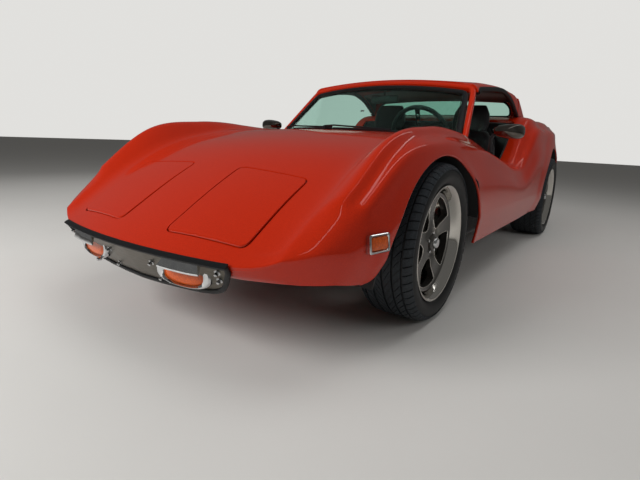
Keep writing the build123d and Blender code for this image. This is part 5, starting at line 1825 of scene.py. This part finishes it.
@dataclass
class Cabin:
    """Seats, dashboard, steering wheel, side trims and shelf."""

    skin: Skin
    finishes: Finishes
    seat_y: float = 325
    # Pads of a seat: channel pitch and rows of X, Z, half-width, thickness, bolster and direction of the face.
    seat_pads: Sequence[tuple] = (
        ("cushion", 56, ((140, 262, 222, 80, 24, 78), (110, 285, 228, 92, 34, 84), (0, 272, 230, 92, 42, 92),
                         (-190, 262, 228, 90, 40, 96))),
        ("back", 60, ((-206, 268, 222, 96, 30, 22), (-245, 370, 230, 96, 42, 22), (-320, 545, 230, 92, 46, 22),
                      (-392, 700, 205, 80, 34, 22), (-440, 812, 130, 64, 8, 20))),
        ("head", 0, ((-428, 792, 116, 62, 0, 14), (-446, 860, 132, 74, 3, 12), (-458, 930, 124, 74, 3, 8),
                     (-466, 990, 92, 52, 0, 6))),
        ("shell", 0, ((-262, 226, 214, 46, 0, 22), (-300, 400, 218, 44, 0, 22), (-372, 560, 216, 40, 0, 22),
                      (-450, 740, 190, 34, 0, 22), (-482, 850, 120, 26, 0, 16))),
    )
    hub: Sequence[float] = (320, 265, 745)
    rake: float = 24
    wheel_radius: float = 187
    grip: float = 13
    # Turns of the steering wheel's spokes in degrees, their half-width by radius, and where they are drilled.
    spoke_turns: Sequence[float] = (90, 210, 330)
    spoke_line: Sequence[Sequence[float]] = ((24, 19), (60, 15), (110, 13), (150, 14), (174, 20))
    spoke_holes: Sequence[float] = (68, 98, 128)
    dials: Sequence[float] = (245, 355)

    def pad(self, name: str, spine: Sequence[Sequence[float]], centre_y: float, channel: float) -> bpy.types.Object:
        """Upholstered pad along a spine in the side view, with bolsters at its edges.

        Args:
            name: Name of the piece.
            spine: Rows of X, Z, half-width, thickness, bolster height and direction angle of its face.
            centre_y: Middle of the seat.
            channel: Pitch of its sewn channels, or zero for none.

        Returns:
            The pad.
        """
        rows = np.array(spine, float)
        along = np.concatenate([[0], np.cumsum(np.hypot(np.diff(rows[:, 0]), np.diff(rows[:, 1])))])
        places = np.linspace(0, along[-1], 56)
        track = np.stack([np.interp(places, along, rows[:, k]) for k in range(6)], axis=1)
        kernel = np.array([1, 4, 6, 4, 1]) / 16
        for _ in range(3):
            padded = np.vstack([track[:1], track[:1], track, track[-1:], track[-1:]])
            track = np.stack([np.convolve(padded[:, k], kernel, "valid") for k in range(6)], axis=1)
        rings = []
        for number, (x, z, half, thick, bolster, lean) in enumerate(track):
            end = min(number, len(track) - 1 - number)
            shrink = math.sqrt(max(0.02, 1 - (1 - min(1.0, (end + 0.4) / 4.5)) ** 2))
            c, s = math.cos(math.radians(lean)), math.sin(math.radians(lean))
            ring = []
            for a, b in bar_section(1, 1, 3.2, 44):
                y = a * half * (0.93 + 0.07 * shrink)
                lift = b * thick / 2 * shrink
                if b > 0:
                    lift += bolster * smooth_step((abs(a) - 0.52) / 0.3) * min(1, b * 1.5) * shrink
                    seam = math.exp(-((abs(a) - 0.56) / 0.03) ** 2) * 5
                    rib = 0.0
                    if channel and abs(a) < 0.54:
                        rib = 4.5 * abs(math.sin(math.pi * places[number] / channel)) ** 0.5 - 4.5
                    lift += (rib - seam) * min(1, b * 1.4) * shrink
                ring.append((x + lift * c, centre_y + y, z + lift * s))
            rings.append(ring)
        return loft(name, rings)

    def seats(self) -> None:
        """Two bucket seats, each a cushion, a back and a head pad."""
        f = self.finishes
        stands_for = ("seats",)
        for side in Side:
            y = side.value * self.seat_y
            label = side.label
            *pads, shell = [self.pad(f"seat_{kind}_{label}", spine, y, channel)
                            for kind, channel, spine in self.seat_pads]
            base = block(f"seat_base_{label}", (-50, y, 226), (330, 400, 40), 12)
            for pad in pads:
                finish_with(pad, "SUBSURF", levels=1, render_levels=1)
                dress(pad, f.vinyl, replaces=stands_for, angle=70)
                stands_for = ()
            dress(joined(f"seat_shell_{label}", [shell, base]), f.plastic)

    def dashboard(self) -> None:
        """Padded shelf with an instrument hood and two dials."""
        f = self.finishes
        rings = []
        for y in np.linspace(-590, 590, 41):
            hood = 22 * smooth_step((175 - abs(y - 300)) / 45)
            edge = 3 * (abs(y) / 590) ** 8
            rings.append([(706, y, 523), (706, y, 686), (640, y, 689), (560, y, 688 + hood * 0.6),
                          (524, y, 684 + hood - edge), (506, y, 676 + hood - edge), (502, y, 660 + hood * 0.5),
                          (508, y, 648), (517, y, 600), (520, y, 548), (534, y, 530), (560, y, 523)])
        shelf = loft("dashboard_pad", rings)
        finish_with(shelf, "SUBSURF", levels=1, render_levels=1)
        dress(shelf, f.vinyl, replaces=("dashboard",), angle=60)
        rims, faces = [], []
        for y in self.dials:
            rims.append(drum("dial_rim", (508, y, 632), (-1, 0, 0.1), 42, 12, 38, round_by=2))
            faces.append(drum("dial_face", (502, y, 632.5), (-1, 0, 0.1), 34, 3, 33))
        dress(joined("dial_rims", rims), f.chrome)
        dress(joined("dial_faces", faces), f.lamp_glass)

    def steering_wheel(self) -> None:
        """Thick leather rim on three drilled spokes."""
        f = self.finishes
        c, s = math.cos(math.radians(self.rake)), math.sin(math.radians(self.rake))
        axis = Vector((-c, 0, s))
        across, up = Vector((0, 1, 0)), Vector((s, 0, c))
        hub = Vector(self.hub)
        clear_selection()
        bpy.ops.mesh.primitive_torus_add(major_radius=(self.wheel_radius - self.grip) * MM,
                                         minor_radius=self.grip * MM, major_segments=96, minor_segments=20)
        rim = bpy.context.object
        rim.name = "steering_rim"
        rim.matrix_world = Matrix.Translation(hub * MM) @ facing(axis, "Z")
        settle(rim)
        dress(rim, f.vinyl, "steering_wheel", ("steering_wheel",), angle=60)
        parts = []
        for turn in self.spoke_turns:
            a = math.radians(turn)
            radial = across * math.cos(a) + up * math.sin(a)
            side = axis.cross(radial)
            foot = hub - axis * 7
            spoke = loft("spoke", [[tuple(foot + radial * r + side * hand * wide + axis * lift) for hand, lift in
                                    ((-1, -1.8), (1, -1.8), (1, 1.8), (-1, 1.8))]
                                   for r, wide in self.spoke_line])
            for r in self.spoke_holes:
                cut(spoke, drum("hole_cutter", foot + radial * r, axis, 7.5, 20, sides=24))
            parts.append(soften(spoke, 0.8, 2))
        parts.append(drum("boss", hub + axis * -33, axis, 23, 54, 34, round_by=3))
        parts.append(drum("horn_push", hub + axis * 4, axis, 30, 14, 26, round_by=5))
        dress(joined("steering_spokes", parts), f.enamel, "steering_wheel")

    def trims(self) -> None:
        """Side trims below the ledges, the shelf behind the seats and the sill of the rear window."""
        f = self.finishes
        strips = []
        for side in Side:
            rings = []
            inner, outer = side.value * 590, side.value * 601
            for x in np.linspace(545, -548, 60):
                low, top = 560 if x > -300 else 600, self.skin.height(x, 604) - 5
                rings.append([(x, inner, low), (x, inner, top), (x, outer, top), (x, outer, low)])
            strips.append(soften(loft("side_trim", rings), 3, 2))
        dress(joined("side_trims", strips), f.vinyl)
        rings = []
        for y in np.linspace(-589, 589, 31):
            drop = 10 * (abs(y) / 589) ** 6
            rings.append([(-552, y, 560), (-536, y, 700), (-534, y, 845 - drop), (-542, y, 868 - drop),
                          (-560, y, 878 - drop), (-600, y, 878 - drop), (-604, y, 866 - drop), (-604, y, 560)])
        dress(soften(loft("shelf_pad", rings), 3, 2), f.vinyl)

    def build(self) -> None:
        """Build the cabin."""
        self.seats()
        self.dashboard()
        self.steering_wheel()
        self.trims()


def dress_frame(frame: dict, finishes: Finishes) -> None:
    """Give every CAD node that stays its finish."""
    kept = (
        (finishes.paint, ("lamp_bays",)),
        (finishes.lamp_glass, ("headlamps",)),
        (finishes.rubber, ("wheel_houses",)),
        (finishes.carpet, ("cabin_tub",)),
        (finishes.plastic, ("steering_column", "gear_lever")),
        (finishes.enamel, ("floor_pan", "plate_bracket", "front_axle", "rear_axle", "knuckle_left", "knuckle_right")),
        (finishes.casting, ("transaxle", "engine")),
        (finishes.hot_steel, ("exhaust",)),
    )
    for finish, names in kept:
        for name in names:
            for slot in frame["nodes"][name].material_slots:
                slot.material = finish.material


def main() -> None:
    """Build every sub-assembly round the frame, in order."""
    logging.basicConfig(level=logging.INFO, format="%(name)s: %(message)s")
    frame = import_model()
    clear_selection()
    finishes = Finishes()
    Studio().build()
    skin = Skin()
    body = Body(skin, finishes)
    body.build()
    Greenhouse(skin, finishes).build()
    NoseTrim(body, finishes).build()
    Fittings(skin, finishes).build()
    Cabin(skin, finishes).build()
    for side in Side:
        Wheel(finishes, f"front_{side.label}", side.value, x=1200, hub_y=665, half=101, width=225).build()
        Wheel(finishes, f"rear_{side.label}", side.value, x=-1200, hub_y=698, half=110, width=240).build()
    dress_frame(frame, finishes)


if __name__ == "__main__":
    main()
